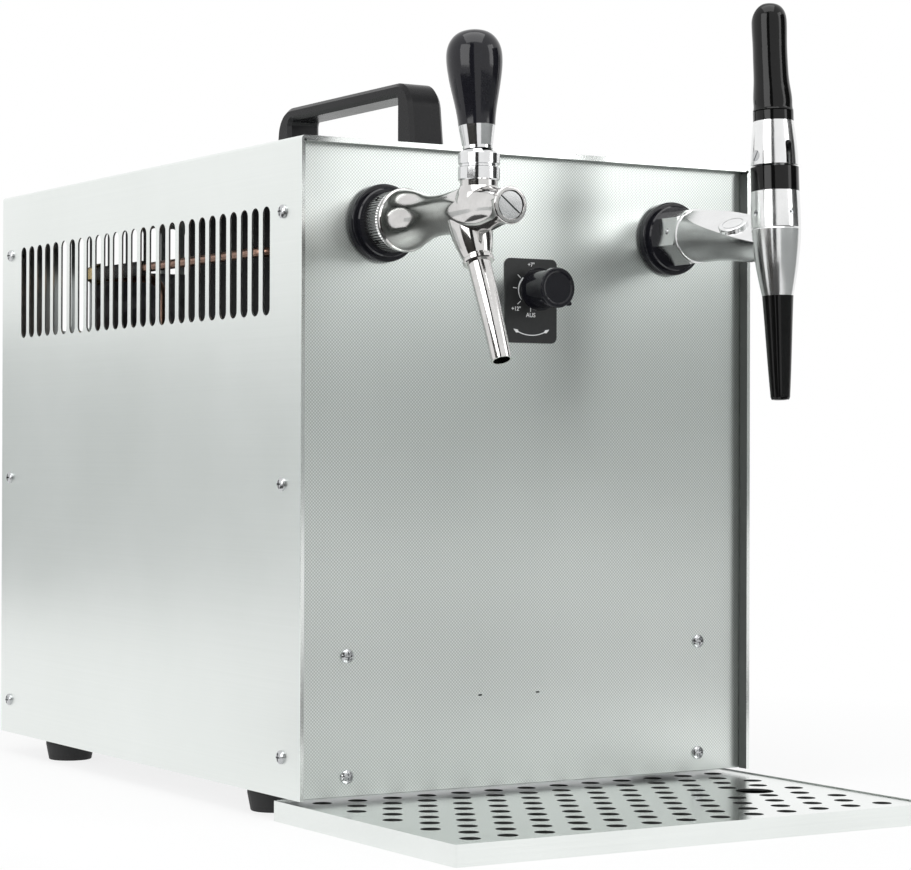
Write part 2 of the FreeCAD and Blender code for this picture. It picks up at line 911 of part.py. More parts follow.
def drip_grate():
    """A perforated plate with staggered round holes and one finger hole."""
    inset = tray_wall + grate_gap
    plate = tray_slab(inset, grate_low, grate_top)
    finger = vec(finger_hole_x, tray_front_y + finger_hole_from_front, 0)
    row_pitch = grate_pitch * math.sin(math.radians(60))
    back_limit = tray_front_y + tray_depth - grate_margin - grate_hole_radius
    row_y = tray_front_y + grate_first_row
    holes = [rod(finger_hole_radius, finger, up, tray_height + 1)]
    row = 0
    while row_y < back_limit:
        columns = grate_hole_columns - row % 2
        first_x = -grate_pitch * (columns - 1) / 2
        for i in range(columns):
            place = vec(first_x + i * grate_pitch, row_y, 0)
            if (place - finger).Length > finger_hole_radius + grate_hole_radius + grate_bridge:
                holes.append(rod(grate_hole_radius, place, up, tray_height + 1))
        row += 1
        row_y += row_pitch
    return plate.cut(Part.makeCompound(holes))


def dial_plate():
    middle = dial_z + dial_plate_above_axis - dial_plate_height / 2
    outline = rectangle(dial_plate_width, dial_plate_height, dial_plate_corner)
    plate = prism(outline, vec(0, panel_y, middle), across, outward, dial_plate_thickness)
    return plate.cut(rod(bushing_radius + shank_gap, vec(0, panel_y + 1, dial_z), outward, 5))


def thermostat_body():
    """The switch box behind the panel, with its threaded bushing and shaft."""
    low = dial_z - thermostat_height / 2
    half = thermostat_width / 2
    body = block(-half, half, panel_back_y, panel_back_y + thermostat_depth, low, low + thermostat_height)
    axis = vec(0, panel_back_y, dial_z)
    bushing = rod(bushing_radius, axis, outward, sheet + dial_plate_thickness + bushing_length)
    shaft_length = sheet + knob_start + knob_bore_depth - 1
    end_y = panel_back_y - shaft_length
    flat = block(-9, 9, end_y - 1, panel_y - knob_start, dial_z + shaft_radius * 0.6, dial_z + 9)
    shaft = rod(shaft_radius, axis, outward, shaft_length).cut(flat)
    return joined(body, bushing, shaft)


def thermostat_nut():
    seat = vec(0, panel_y - dial_plate_thickness, dial_z)
    nut = prism(polygon(6, thermostat_nut_across), seat, across, outward, thermostat_nut_height)
    return nut.cut(rod(bushing_radius + thread_gap, seat + backward, outward, thermostat_nut_height + 2))


def thermostat_knob():
    """A plain round knob with a skirt and a small nib on the rim of its face."""
    end = knob_start + knob_length
    face_start = end - knob_face_thickness
    knob = turned(
        (0, knob_start),
        [
            [(knob_skirt_radius, knob_start)],
            [(knob_skirt_radius, knob_start + knob_skirt_thickness)],
            [(knob_radius, knob_start + knob_skirt_thickness)],
            [(knob_radius - 0.6, face_start)],
            [(knob_face_radius, face_start)],
            [(knob_face_radius, end - 0.8)],
            [(knob_face_radius - 0.25, end - 0.25), (knob_face_radius - 0.8, end)],
            [(knob_face_radius - 2.2, end)],
            [(knob_face_radius - 3.2, end - 0.5)],
            [(0, end - 0.5)],
        ],
        vec(0, panel_y, dial_z),
        outward,
    )
    nib = prism(
        [
            (0, -knob_nib_width / 2, 0),
            (knob_nib_reach, -knob_nib_width / 6, 0.8),
            (knob_nib_reach, knob_nib_width / 6, 0.8),
            (0, knob_nib_width / 2, 0),
        ],
        vec(0, panel_y - face_start, dial_z),
        across,
        outward,
        knob_face_thickness - 0.5,
    )
    nib.rotate(vec(0, 0, dial_z), outward, knob_nib_angle)
    bore = rod(shaft_radius + thread_gap, vec(0, panel_y - knob_start, dial_z), outward, knob_bore_depth)
    return joined(knob, nib).cut(bore)


def thermostat_capillary():
    x = thermostat_width / 4
    y = panel_back_y + thermostat_depth / 2
    low = dial_z - thermostat_height / 2
    turn_z = low - 24
    return pipe([vec(x, y, low), vec(x, y, turn_z), vec(x, jacket_front_y, turn_z)], capillary_radius, 6)


def tap_base(side):
    return vec(side * tap_x, panel_y, tap_z)


def tap_rosette(side):
    bore = shank_radius + shank_gap
    return turned(
        (bore, 0),
        [
            [(rosette_radius, 0)],
            [(rosette_radius, rosette_rim - 1.2)],
            [(rosette_radius - 0.35, rosette_rim - 0.35), (rosette_radius - 1.2, rosette_rim)],
            [(rosette_step_radius, rosette_rim)],
            [(rosette_step_radius, rosette_thickness - 0.8)],
            [(rosette_step_radius - 0.8, rosette_thickness)],
            [(bore, rosette_thickness)],
        ],
        tap_base(side),
        outward,
    )


def tap_shank(side):
    length = shank_tail + shank_front
    start = tap_base(side) + backward * shank_tail
    shank = rod(shank_radius, start, outward, length)
    return shank.cut(rod(shank_bore, start, outward, length))


def shank_nut(side):
    seat = tap_base(side) + backward * sheet
    nut = prism(polygon(6, shank_nut_across), seat, across, backward, shank_nut_height)
    return nut.cut(rod(shank_radius + thread_gap, seat, backward, shank_nut_height))


def tap_feed_tube(side):
    start = tap_base(side) + backward * (shank_tail - tap_tube_entry)
    return rod(shank_bore - thread_gap, start, backward, block_front_y - start.y)


def nut_bores(side):
    """The space inside a coupling nut: the shank first, then the wider tail of the tap."""
    base = tap_base(side)
    shank = rod(shank_radius + thread_gap, base + outward * (rosette_thickness - 1), outward, nut_reach)
    tail = rod(tail_radius + shank_gap, base + outward * shank_front, outward, nut_reach)
    return shank.fuse(tail)


def flow_tap_coupling_nut():
    """A round nut with a knurled rim and holes for a hook spanner."""
    base = tap_base(-1)
    start = rosette_thickness
    radius = coupling_nut_radius
    nut = turned(
        (0, start),
        [
            [(radius - 1.0, start)],
            [(radius, start + 1.0)],
            [(radius, flow_body_start - 1.5)],
            [(radius - 1.5, flow_body_start)],
            [(0, flow_body_start)],
        ],
        base,
        outward,
    )
    middle = base + outward * ((start + flow_body_start) / 2)
    holes = []
    for quarter in range(4):
        angle = math.radians(45 + 90 * quarter)
        ray = vec(math.cos(angle), 0, math.sin(angle))
        holes.append(rod(spanner_hole_radius, middle + ray * (radius - spanner_hole_depth), ray, 10))
    return nut.cut(nut_bores(-1)).cut(Part.makeCompound(holes))


def stout_coupling_nut():
    """A hexagon nut with a turned rim and one grub screw hole."""
    base = tap_base(1)
    start = rosette_thickness
    length = stout_body_start - start
    nut = prism(polygon(6, stout_nut_across), base + outward * start, across, outward, length)
    nut.rotate(base, outward, -stout_nut_turn)
    rim = turned(
        (0, start),
        [
            [(coupling_nut_radius - 0.2, start)],
            [(coupling_nut_radius + 1.5, start + length * 0.25)],
            [(coupling_nut_radius + 1.5, stout_body_start - 1.5)],
            [(coupling_nut_radius - 0.4, stout_body_start)],
            [(0, stout_body_start)],
        ],
        base,
        outward,
    )
    middle = base + outward * (start + length * 0.55)
    turn = math.radians(stout_nut_turn)
    ray = vec(-math.cos(turn), 0, math.sin(turn))
    bottom = middle + ray * (stout_nut_across / 2 - spanner_hole_depth)
    hole = rod(spanner_hole_radius, bottom, ray, 10)
    return nut.common(rim).cut(nut_bores(1)).cut(hole)


lever_pivot = tap_base(-1) + outward * lever_at + up * lever_pivot_up
spout_direction = vec(0, -math.sin(math.radians(spout_lean)), -math.cos(math.radians(spout_lean)))
socket_end = tap_base(-1) + outward * spout_socket_forward - up * spout_socket_down
flow_recess = flow_screw_head_height + 0.6
spigot_radius = spout_top_radius - 0.5


def along_spout(distance):
    return socket_end + spout_direction * distance


def flow_tap_body():
    """The cast body: tail, waist, shoulder under the lever, spout socket and front boss."""
    base = tap_base(-1)
    bead_start = flow_body_start + flow_step_width
    bead_end = bead_start + flow_bead_width
    waist = flow_waist_radius
    body = turned(
        (0, shank_front),
        [
            [(tail_radius, shank_front)],
            [(tail_radius, flow_body_start)],
            [(flow_step_radius, flow_body_start)],
            [(flow_step_radius, bead_start)],
            [(flow_bead_radius - 1.0, bead_start)],
            [(flow_bead_radius, (bead_start + bead_end) / 2), (flow_bead_radius - 1.0, bead_end)],
            [
                (flow_bead_radius - 2.6, bead_end + 8),
                (waist + 1.4, flow_waist_at - 14),
                (waist, flow_waist_at),
                (waist + 0.5, flow_waist_at + 18),
                (flow_shoulder_radius, flow_shoulder_at),
                (flow_shoulder_radius - 1.2, flow_shoulder_at + 14),
                (flow_front_radius + 0.2, flow_length - 16),
                (flow_front_radius, flow_length - 1.2),
            ],
            [(flow_front_radius - 0.4, flow_length - 0.3), (flow_front_radius - 1.2, flow_length)],
            [(0, flow_length)],
        ],
        base,
        outward,
    )
    neck_height = lever_pivot_up - collar_below
    neck = turned(
        (0, 0),
        [
            [(flow_shoulder_radius - 0.6, 0)],
            [(flow_shoulder_radius - 1.2, neck_height * 0.55), (neck_radius, neck_height * 0.8)],
            [(neck_radius, neck_height)],
            [(0, neck_height)],
        ],
        base + outward * lever_at,
        up,
    )
    socket = turned(
        (0, -socket_length),
        [
            [(socket_start_radius, -socket_length)],
            [(socket_start_radius - 0.4, -socket_length * 0.62), (socket_end_radius, -4.0)],
            [(socket_end_radius, -3.0)],
            [(socket_end_radius + socket_bead, -2.4)],
            [(socket_end_radius + socket_bead, -0.6)],
            [(socket_end_radius, 0)],
            [(0, 0)],
        ],
        socket_end,
        spout_direction,
    )
    body = joined(body, neck, socket)
    cutters = [
        rod(shank_bore, base + outward * (shank_front - 1), outward, flow_chamber_start),
        rod(
            flow_chamber_radius,
            base + outward * flow_chamber_start,
            outward,
            valve_seat_at - flow_chamber_start,
        ),
        rod(valve_seat_bore, base + outward * flow_chamber_start, outward, flow_length - flow_chamber_start),
        rod(flow_chamber_radius, base + outward * (valve_seat_at + valve_seat_width), outward, flow_length),
        rod(flow_screw_head_radius + fit_gap, base + outward * (flow_length - flow_recess), outward, 10),
        Part.makeSphere(lever_seat_radius, lever_pivot),
        rod(lever_finger_room, lever_pivot - up * lever_pivot_up, up, lever_pivot_up - lever_seat_depth),
        rod(shank_bore, along_spout(2 - socket_length), spout_direction, socket_length),
        rod(spigot_radius + thread_gap, along_spout(-socket_bore_depth), spout_direction, 20),
    ]
    for cutter in cutters:
        body = body.cut(cutter)
    return body


def spout_sections(top_radius, tip_radius, from_top):
    """Circles along the slightly bowed axis of the spout."""
    rings = []
    count = 5
    for i in range(count):
        share = i / (count - 1)
        along = from_top + (spout_length - from_top) * share
        bow = spout_bow * math.sin(math.pi * max(along, 0) / spout_length)
        sideways = spout_direction.cross(across)
        centre = socket_end + spout_direction * along + sideways * bow
        radius = top_radius + (tip_radius - top_radius) * share
        rings.append(Part.Wire([Part.makeCircle(radius, centre, spout_direction)]))
    return rings


def flow_tap_spout():
    tube = Part.makeLoft(spout_sections(spout_top_radius, spout_tip_radius, 0), True)
    bore = Part.makeLoft(
        spout_sections(spout_top_radius - spout_wall, spout_tip_radius - spout_wall, 0), True
    )
    depth = socket_bore_depth
    spigot = rod(spigot_radius, along_spout(0.5 - depth), spout_direction, depth)
    spigot_bore = rod(spigot_radius - spout_wall, along_spout(-depth), spout_direction, depth + 1)
    return tube.fuse(spigot).cut(bore).cut(spigot_bore)


def flow_compensator_screw():
    """The slotted screw in the front of the tap that trims the flow."""
    base = tap_base(-1)
    head_back = flow_length - flow_recess + 0.1
    head = turned(
        (0, head_back),
        [
            [(flow_screw_head_radius, head_back)],
            [(flow_screw_head_radius, head_back + flow_screw_head_height - 0.5)],
            [(flow_screw_head_radius - 0.5, head_back + flow_screw_head_height)],
            [(0, head_back + flow_screw_head_height)],
        ],
        base,
        outward,
    )
    length = flow_screw_length
    stem = rod(flow_chamber_radius - thread_gap, base + outward * (head_back - length), outward, length)
    slot_base = base + outward * (head_back + flow_screw_head_height - 1.0)
    slot = prism(rectangle(4 * flow_screw_head_radius, flow_screw_slot, 0), slot_base, across, outward, 5)
    slot.rotate(slot_base, outward, -38)
    return joined(head, stem).cut(slot)


def flow_valve_rod():
    """The rod that the lever's finger pushes back to lift its seal off the seat."""
    base = tap_base(-1)
    seal_end = valve_seat_at - fit_gap
    seal_start = seal_end - valve_seal_width
    guide = flow_chamber_radius - thread_gap
    valve = turned(
        (0, seal_start),
        [
            [(valve_seal_radius - 1.0, seal_start)],
            [(valve_seal_radius, seal_start + 1.0)],
            [(valve_seal_radius, seal_end)],
            [(valve_stem_radius, seal_end)],
            [(valve_stem_radius, valve_piston_start)],
            [(guide, valve_piston_start)],
            [(guide, valve_piston_end)],
            [(0, valve_piston_end)],
        ],
        base,
        outward,
    )
    finger_at = lever_at + math.tan(math.radians(lever_lean)) * (lever_pivot_up - flow_chamber_radius / 2)
    half = valve_rod_slot / 2
    middle = base + outward * finger_at
    side = lever_finger_radius + fit_gap
    bottom = tap_z + lever_pivot_up - lever_finger_length - 1.5
    slot = block(
        middle.x - side,
        middle.x + side,
        middle.y - half,
        middle.y + half,
        bottom,
        tap_z + flow_chamber_radius + 1,
    )
    return valve.cut(slot)


def leaned(solid):
    solid.rotate(lever_pivot, across, -lever_lean)
    return solid


def flow_lever_collar():
    """The ring nut over the lever's ball. Its top is part of a ball about the same centre."""
    groove_end = collar_groove_at + collar_groove_width
    groove_radius = collar_radius - collar_groove_depth
    top = math.sqrt(collar_dome_radius**2 - collar_radius**2)
    collar = turned(
        (0, -collar_below),
        [
            [(collar_radius - 0.6, -collar_below)],
            [(collar_radius, -collar_below + 0.6)],
            [(collar_radius, collar_groove_at - 0.6)],
            [(groove_radius, collar_groove_at)],
            [(groove_radius, groove_end)],
            [(collar_radius, groove_end + 0.6)],
            [(collar_radius, top)],
            [(0, top)],
        ],
        lever_pivot,
        up,
    )
    dome = Part.makeSphere(collar_dome_radius, lever_pivot)
    cap = dome.common(rod(collar_radius, lever_pivot + up * (top - 0.01), up, collar_dome_radius))
    collar = joined(collar, cap)
    half = lever_stem_radius + fit_gap
    forward = math.radians(lever_open_angle - lever_lean + lever_slot_margin)
    back = math.radians(lever_lean + lever_slot_margin)
    reach = 2 * collar_dome_radius
    front = (-half * math.cos(forward), -half * math.sin(forward))
    rear = (half * math.cos(back), -half * math.sin(back))
    sweep = prism(
        [
            (front[0], front[1], 0),
            (rear[0], rear[1], 0),
            (rear[0] + reach * math.sin(back), rear[1] + reach * math.cos(back), 0),
            (front[0] - reach * math.sin(forward), front[1] + reach * math.cos(forward), 0),
        ],
        lever_pivot - across * half,
        backward,
        across,
        2 * half,
    )
    collar = collar.cut(Part.makeSphere(lever_seat_radius, lever_pivot))
    collar = collar.cut(lever_pin(lever_pin_radius + pin_running_gap))
    collar = collar.cut(rod(lever_seat_radius, lever_pivot, down, collar_below + 1))
    return collar.cut(sweep)


def lever_pin(radius):
    """The cross pin through the ball that the lever turns on."""
    return rod(radius, lever_pivot - across * lever_pin_half, across, 2 * lever_pin_half)


def flow_lever():
    """Ball, finger, stem and chromed ferrule of the lever, made as one turned piece."""
    ball = Part.makeSphere(lever_ball_radius, lever_pivot)
    finger = rod(lever_finger_radius, lever_pivot, down, lever_finger_length)
    stem = rod(lever_stem_radius, lever_pivot, up, ferrule_top_at - 4)
    ferrule = turned(
        (0, 6),
        [
            [(ferrule_bottom_radius, 6)],
            [(ferrule_bottom_radius, collar_dome_radius)],
            [(ferrule_top_radius, ferrule_top_at)],
            [(grip_spigot_radius, ferrule_top_at)],
            [(grip_spigot_radius, ferrule_top_at + grip_spigot_length)],
            [(0, ferrule_top_at + grip_spigot_length)],
        ],
        lever_pivot,
        up,
    )
    ferrule = ferrule.cut(Part.makeSphere(collar_dome_radius + ferrule_gap, lever_pivot))
    return leaned(joined(ferrule, stem, ball, finger, lever_pin(lever_pin_radius)))


def flow_lever_grip():
    start = ferrule_top_at
    rise = grip_wide_at - start
    bulge = grip_radius - ferrule_top_radius
    grip = turned(
        (0, start),
        [
            [(ferrule_top_radius, start)],
            [
                (ferrule_top_radius + bulge * 0.2, start + rise * 0.25),
                (ferrule_top_radius + bulge * 0.52, start + rise * 0.5),
                (ferrule_top_radius + bulge * 0.86, start + rise * 0.78),
                (grip_radius, grip_wide_at),
                (grip_radius * 0.93, grip_wide_at + (grip_top_at - grip_wide_at) * 0.48),
                (grip_radius * 0.6, grip_wide_at + (grip_top_at - grip_wide_at) * 0.87),
                (grip_radius * 0.25, grip_top_at - 0.35),
                (0, grip_top_at),
            ],
        ],
        lever_pivot,
        up,
    )
    bore = rod(grip_spigot_radius + thread_gap, lever_pivot + up * start, up, grip_spigot_length + 1)
    return leaned(grip.cut(bore))


stout_centre = tap_base(1) + outward * stout_at
stout_axis = vec(0, math.sin(math.radians(stout_lean)), math.cos(math.radians(stout_lean)))
stout_pivot = stout_centre + stout_axis * stout_pivot_at


def stout_upright(solid):
    """Leans a piece that was made upright about the middle of the barrel."""
    solid.rotate(stout_centre, across, -stout_lean)
    return solid


def set_screw_rays():
    return [vec(-1, 0, 0), outward]


def lofted(start, direction, drop, stations):
    """A solid through circles. Each station is its distance, its radius and how far it drops."""
    wires = []
    for distance, radius, fall in stations:
        centre = start + direction * distance + drop * fall
        wires.append(Part.Wire(Part.makeCircle(radius, centre, direction)))
    return Part.makeLoft(wires, True)


def stem_facet_normal():
    turn = math.radians(stem_facet_turn)
    return vec(-math.sin(turn), -stem_facet_slope, math.cos(turn)).normalize()


def stem_facet_height(along, collar_end):
    return stem_facet_up - stem_facet_slope * (along - collar_end)


def stout_stem(collar_end):
    """The swelling stem, with a slanted flat on its upper left side."""
    base = tap_base(1)
    stations = [(collar_end, stout_collar_radius - 0.7, 0.0)] + stout_stem_stations
    stem = lofted(base, outward, down, stations)
    reach = stem_facet_room
    fall = stem_facet_slope * (stout_at - collar_end)
    outline = [
        (collar_end + 1, stem_facet_up, 0),
        (stout_at, stem_facet_up - fall, 0),
        (stout_at, reach, 0),
        (collar_end + 1, reach, 0),
    ]
    cutter = prism(outline, base + across * reach, outward, across * -1, 2 * reach)
    cutter.rotate(base, backward, -stem_facet_turn)
    return stem.cut(cutter)


def stem_boss(collar_end):
    """The round cover on the stem's flat, with a ring cut into it."""
    turn = math.radians(stem_facet_turn)
    normal = stem_facet_normal()
    side = vec(math.cos(turn), 0, math.sin(turn))
    height = stem_facet_height(stem_boss_at, collar_end)
    upright = vec(-math.sin(turn), 0, math.cos(turn))
    middle = tap_base(1) + outward * stem_boss_at - side * stem_boss_aside + upright * height
    sunk = 2 * stem_boss_rise
    boss = rod(stem_boss_radius, middle - normal * sunk, normal, sunk + stem_boss_rise)
    top = middle + normal * stem_boss_rise
    edges = [edge for edge in boss.Edges if edge.Closed and (edge.BoundBox.Center - top).Length < 0.5]
    boss = boss.makeFillet(0.9, edges)
    groove_base = top - normal * stem_boss_ring_depth
    groove = rod(stem_boss_ring_radius, groove_base, normal, 2)
    core = rod(stem_boss_ring_radius - stem_boss_ring_width, groove_base - normal, normal, 4)
    return boss.cut(groove.cut(core))


def stout_tap_body():
    """The horizontal stem and the upright barrel with the lug that carries the lever."""
    base = tap_base(1)
    collar_end = stout_body_start + stout_collar_width
    tail = turned(
        (0, shank_front),
        [
            [(tail_radius, shank_front)],
            [(tail_radius, stout_body_start)],
            [(stout_collar_radius - 0.5, stout_body_start)],
            [(stout_collar_radius, stout_body_start + 0.6)],
            [(stout_collar_radius, collar_end - 0.4)],
            [(stout_collar_radius - 0.7, collar_end)],
            [(0, collar_end)],
        ],
        base,
        outward,
    )
    stem = stout_stem(collar_end)
    boss = stem_boss(collar_end)
    barrel = stout_upright(
        turned(
            (0, barrel_bottom_at),
            [
                [(barrel_bottom_radius, barrel_bottom_at)],
                [
                    (barrel_bottom_radius + 1.6, barrel_bottom_at + 8),
                    (barrel_bottom_radius + 3.2, barrel_bottom_at + 17),
                    (barrel_bottom_radius + 4.9, barrel_bottom_at + 30),
                    (barrel_radius, barrel_seam_at - 0.6),
                ],
                [(barrel_radius - barrel_seam_depth, barrel_seam_at)],
                [(barrel_radius, barrel_seam_at + 0.6)],
                [(barrel_radius - 0.1, barrel_top_at / 2), (barrel_top_radius, barrel_top_at)],
                [(0, barrel_top_at)],
            ],
            stout_centre,
            up,
        )
    )
    half_x = stout_lug_x / 2
    half_y = stout_lug_y / 2
    centre = stout_centre
    lug = stout_upright(
        block(
            centre.x - half_x,
            centre.x + half_x,
            centre.y - half_y,
            centre.y + half_y,
            centre.z + barrel_top_at - 1,
            centre.z + stout_pivot_at + stout_lug_above,
        )
    )
    body = joined(tail, stem, boss, barrel, lug)
    chamber_base = centre + up * (barrel_bottom_at - 1)
    chamber_height = barrel_chamber_top - barrel_bottom_at + 1
    chamber = stout_upright(rod(barrel_chamber_radius, chamber_base, up, chamber_height))
    passage = rod(shank_bore, base + outward * (shank_front - 1), outward, collar_end - shank_front + 1)
    slant_start = base + outward * collar_end
    slant = outward * (stout_at - collar_end) - up * stout_passage_fall
    passage = passage.fuse(Part.makeSphere(shank_bore, slant_start)).fuse(
        rod(shank_bore, slant_start, vec(*slant).normalize(), slant.Length)
    )
    pin_start = stout_pivot - across * stout_lug_x
    pin_hole = rod(stout_pin_radius + pin_running_gap, pin_start, across, 2 * stout_lug_x)
    body = body.cut(chamber).cut(passage).cut(pin_hole)
    for ray in set_screw_rays():
        start = centre + up * set_screw_up + ray * (barrel_radius - set_screw_depth)
        body = body.cut(stout_upright(rod(set_screw_radius + thread_gap, start, ray, 2 * set_screw_depth)))
    return body


def stout_set_screw(ray):
    length = set_screw_depth - set_screw_sunk
    start = stout_centre + up * set_screw_up + ray * (barrel_radius - set_screw_depth)
    screw = rod(set_screw_radius, start, ray, length)
    key = prism(polygon(6, 1.6), start + ray * (length - 1.0), up, ray, 3)
    return stout_upright(screw.cut(key))


def stout_nozzle():
    """The long black spout with a spigot up inside the barrel."""
    tip_at = barrel_bottom_at - nozzle_length
    spigot = barrel_chamber_radius - thread_gap
    nozzle = turned(
        (nozzle_bore_radius, tip_at),
        [
            [(nozzle_tip_radius - 0.7, tip_at)],
            [(nozzle_tip_radius, tip_at + 1.5)],
            [
                (nozzle_tip_radius + 1.35, tip_at + nozzle_length * 0.35),
                (barrel_bottom_radius - 1.1, tip_at + nozzle_length * 0.7),
                (barrel_bottom_radius, barrel_bottom_at),
            ],
            [(spigot, barrel_bottom_at)],
            [(spigot, barrel_bottom_at + nozzle_spigot_length)],
            [(nozzle_bore_radius + 1.5, barrel_bottom_at + nozzle_spigot_length)],
            [(nozzle_bore_radius, barrel_bottom_at)],
        ],
        stout_centre,
        up,
    )
    return stout_upright(nozzle)


def stout_restrictor_disc():
    start = stout_centre + up * (barrel_bottom_at + nozzle_spigot_length)
    disc = rod(barrel_chamber_radius - thread_gap, start, up, restrictor_thickness)
    holes = []
    for i in range(restrictor_hole_count):
        turn = 2 * math.pi * i / restrictor_hole_count
        place = start + vec(math.cos(turn), math.sin(turn), 0) * restrictor_hole_ring
        holes.append(rod(restrictor_hole_radius, place - up, up, restrictor_thickness + 2))
    return stout_upright(disc.cut(Part.makeCompound(holes)))


sleeve_reach = math.sqrt(sleeve_bottom_radius**2 + sleeve_bottom_drop**2)


def stout_lever_cup():
    """The black cup on top of the barrel. Its hollow is part of a ball about the lever's pin."""
    cup_reach = sleeve_reach + fit_gap
    rim_at = stout_pivot_at - math.sqrt(cup_reach**2 - barrel_top_radius**2) - cup_rim_drop
    pivot = stout_centre + up * stout_pivot_at
    cup = rod(barrel_top_radius, stout_centre + up * barrel_top_at, up, rim_at - barrel_top_at)
    cup = cup.cut(Part.makeSphere(cup_reach, pivot))
    half_x = stout_lug_x / 2 + thread_gap
    half_y = stout_lug_y / 2 + thread_gap
    centre = stout_centre
    window = block(
        centre.x - half_x,
        centre.x + half_x,
        centre.y - half_y,
        centre.y + half_y,
        centre.z,
        centre.z + stout_pivot_at,
    )
    return stout_upright(cup.cut(window))


def stout_lever_sleeve():
    """The chromed lower end of the stout lever, hollow over the lug, with an open slot in front."""
    bottom_at = stout_pivot_at - sleeve_bottom_drop
    pivot = stout_centre + up * stout_pivot_at
    bore_top = stout_pivot_at + sleeve_bore_above
    sleeve = turned(
        (sleeve_bore_radius, bottom_at),
        [
            [(sleeve_bottom_radius, bottom_at)],
            [
                (sleeve_bottom_radius - 0.25, bottom_at + 8),
                (sleeve_bottom_radius - 1.0, bottom_at + 17),
                (sleeve_top_radius, sleeve_top_at),
            ],
            [(stout_grip_spigot_radius, sleeve_top_at)],
            [(stout_grip_spigot_radius, sleeve_top_at + stout_grip_spigot_length)],
            [(0, sleeve_top_at + stout_grip_spigot_length)],
            [(0, bore_top)],
            [(sleeve_bore_radius - 3, bore_top)],
            [(sleeve_bore_radius, bore_top - 3)],
        ],
        stout_centre,
        up,
    )
    slot_top = sleeve_bore_above
    slot = prism(
        [
            (-sleeve_slot_half, -sleeve_bottom_drop - 2, 0),
            (sleeve_slot_half, -sleeve_bottom_drop - 2, 0),
            (sleeve_slot_half, slot_top, sleeve_slot_half - 0.01),
            (-sleeve_slot_half, slot_top, sleeve_slot_half - 0.01),
        ],
        pivot,
        across,
        outward,
        2 * sleeve_bottom_radius,
    )
    pin = rod(stout_pin_radius + thread_gap, pivot - across * 30, across, 30 + pin_end())
    head = rod(stout_pin_head_radius + thread_gap, pivot - across * (pin_head_seat()), across * -1, 30)
    return stout_upright(sleeve.cut(slot).cut(pin).cut(head))


def pin_head_seat():
    return sleeve_bottom_radius - 0.3 - stout_pin_head_height


def pin_end():
    return sleeve_bore_radius + 1.5


def stout_pivot_screw():
    """The slotted screw that the stout lever turns on."""
    seat = pin_head_seat()
    pivot = stout_centre + up * stout_pivot_at
    pin = rod(stout_pin_radius, pivot - across * seat, across, seat + pin_end())
    head_start = pivot - across * seat
    head = rod(stout_pin_head_radius, head_start, across * -1, stout_pin_head_height)
    slot_base = pivot - across * (seat + stout_pin_head_height - 0.6)
    slot = prism(rectangle(4 * stout_pin_head_radius, 0.9, 0), slot_base, up, across * -1, 3)
    slot.rotate(slot_base, across, 35)
    return stout_upright(joined(pin, head).cut(slot))


def stout_lever_grip():
    """The slim black handle, swept back a little, with a slanted top."""
    line = stout_grip_line_at
    foot = turned(
        (0, sleeve_top_at),
        [
            [(sleeve_top_radius, sleeve_top_at)],
            [(sleeve_top_radius, line - 0.4)],
            [(sleeve_top_radius - 0.4, line)],
            [(sleeve_top_radius, line + 0.4)],
            [(0, line + 0.4)],
        ],
        stout_centre,
        up,
    )
    stations = [(line + 0.4, sleeve_top_radius, 0.0)] + stout_grip_stations
    grip = joined(foot, lofted(stout_centre, up, backward, stations))
    bore = rod(
        stout_grip_spigot_radius + thread_gap,
        stout_centre + up * sleeve_top_at,
        up,
        stout_grip_spigot_length + 1,
    )
    reach = 3 * sleeve_top_radius
    slant = block(-reach, reach, -reach, reach, 0, reach)
    slant.rotate(vec(0, 0, 0), across, -stout_grip_slant_turn)
    slant.translate(stout_centre + vec(0, stout_grip_slant_y, stout_grip_slant_at))
    return stout_upright(grip.cut(bore).cut(slant))


def cooling_block():
    """The cast block that holds the beer coils, with the ends of its tubes in front."""
    half = block_width / 2
    return block(-half, half, block_front_y, block_front_y + block_depth, block_low, block_low + block_height)


def insulation_jacket():
    jacket = block(-jacket_half, jacket_half, jacket_front_y, jacket_back_y, jacket_low, jacket_high)
    half = block_width / 2
    back = jacket_back_y - jacket_wall
    jacket = jacket.cut(block(-half, half, block_front_y, back, block_low, block_low + block_height))
    holes = []
    for side in (-1, 1):
        centre = vec(side * tap_x, jacket_front_y - 1, tap_z)
        holes.append(rod(shank_bore + fit_gap, centre, backward, jacket_wall + 2))
    return jacket.cut(Part.makeCompound(holes))


def block_bracket(side):
    """A folded bracket from the chassis floor up to the insulated block."""
    web = bracket_x
    web_out = web + base_sheet
    shelf_in = web - bracket_shelf

    def mirrored(x0, x1, y0, y1, z0, z1):
        return block(min(side * x0, side * x1), max(side * x0, side * x1), y0, y1, z0, z1)

    start = panel_back_y + base_sheet
    low = base_top
    outer = front_screw_x + 2 * screw_head_radius
    pieces = [
        mirrored(web, web_out, start, jacket_back_y, low, jacket_low),
        mirrored(shelf_in, web_out, jacket_front_y, jacket_back_y, jacket_low - base_sheet, jacket_low),
        mirrored(shelf_in, web_out, start, jacket_back_y, low, low + base_sheet),
        mirrored(web, outer, panel_back_y, start, casing_bottom + base_flange + 1, jacket_low),
    ]
    bracket = joined(*pieces)
    return cut_screw_holes(bracket, front_screw_seats, 4 * sheet)


def inlet_place(i):
    return vec(inlet_x, rear_y, casing_bottom + inlet_up + i * inlet_spacing)


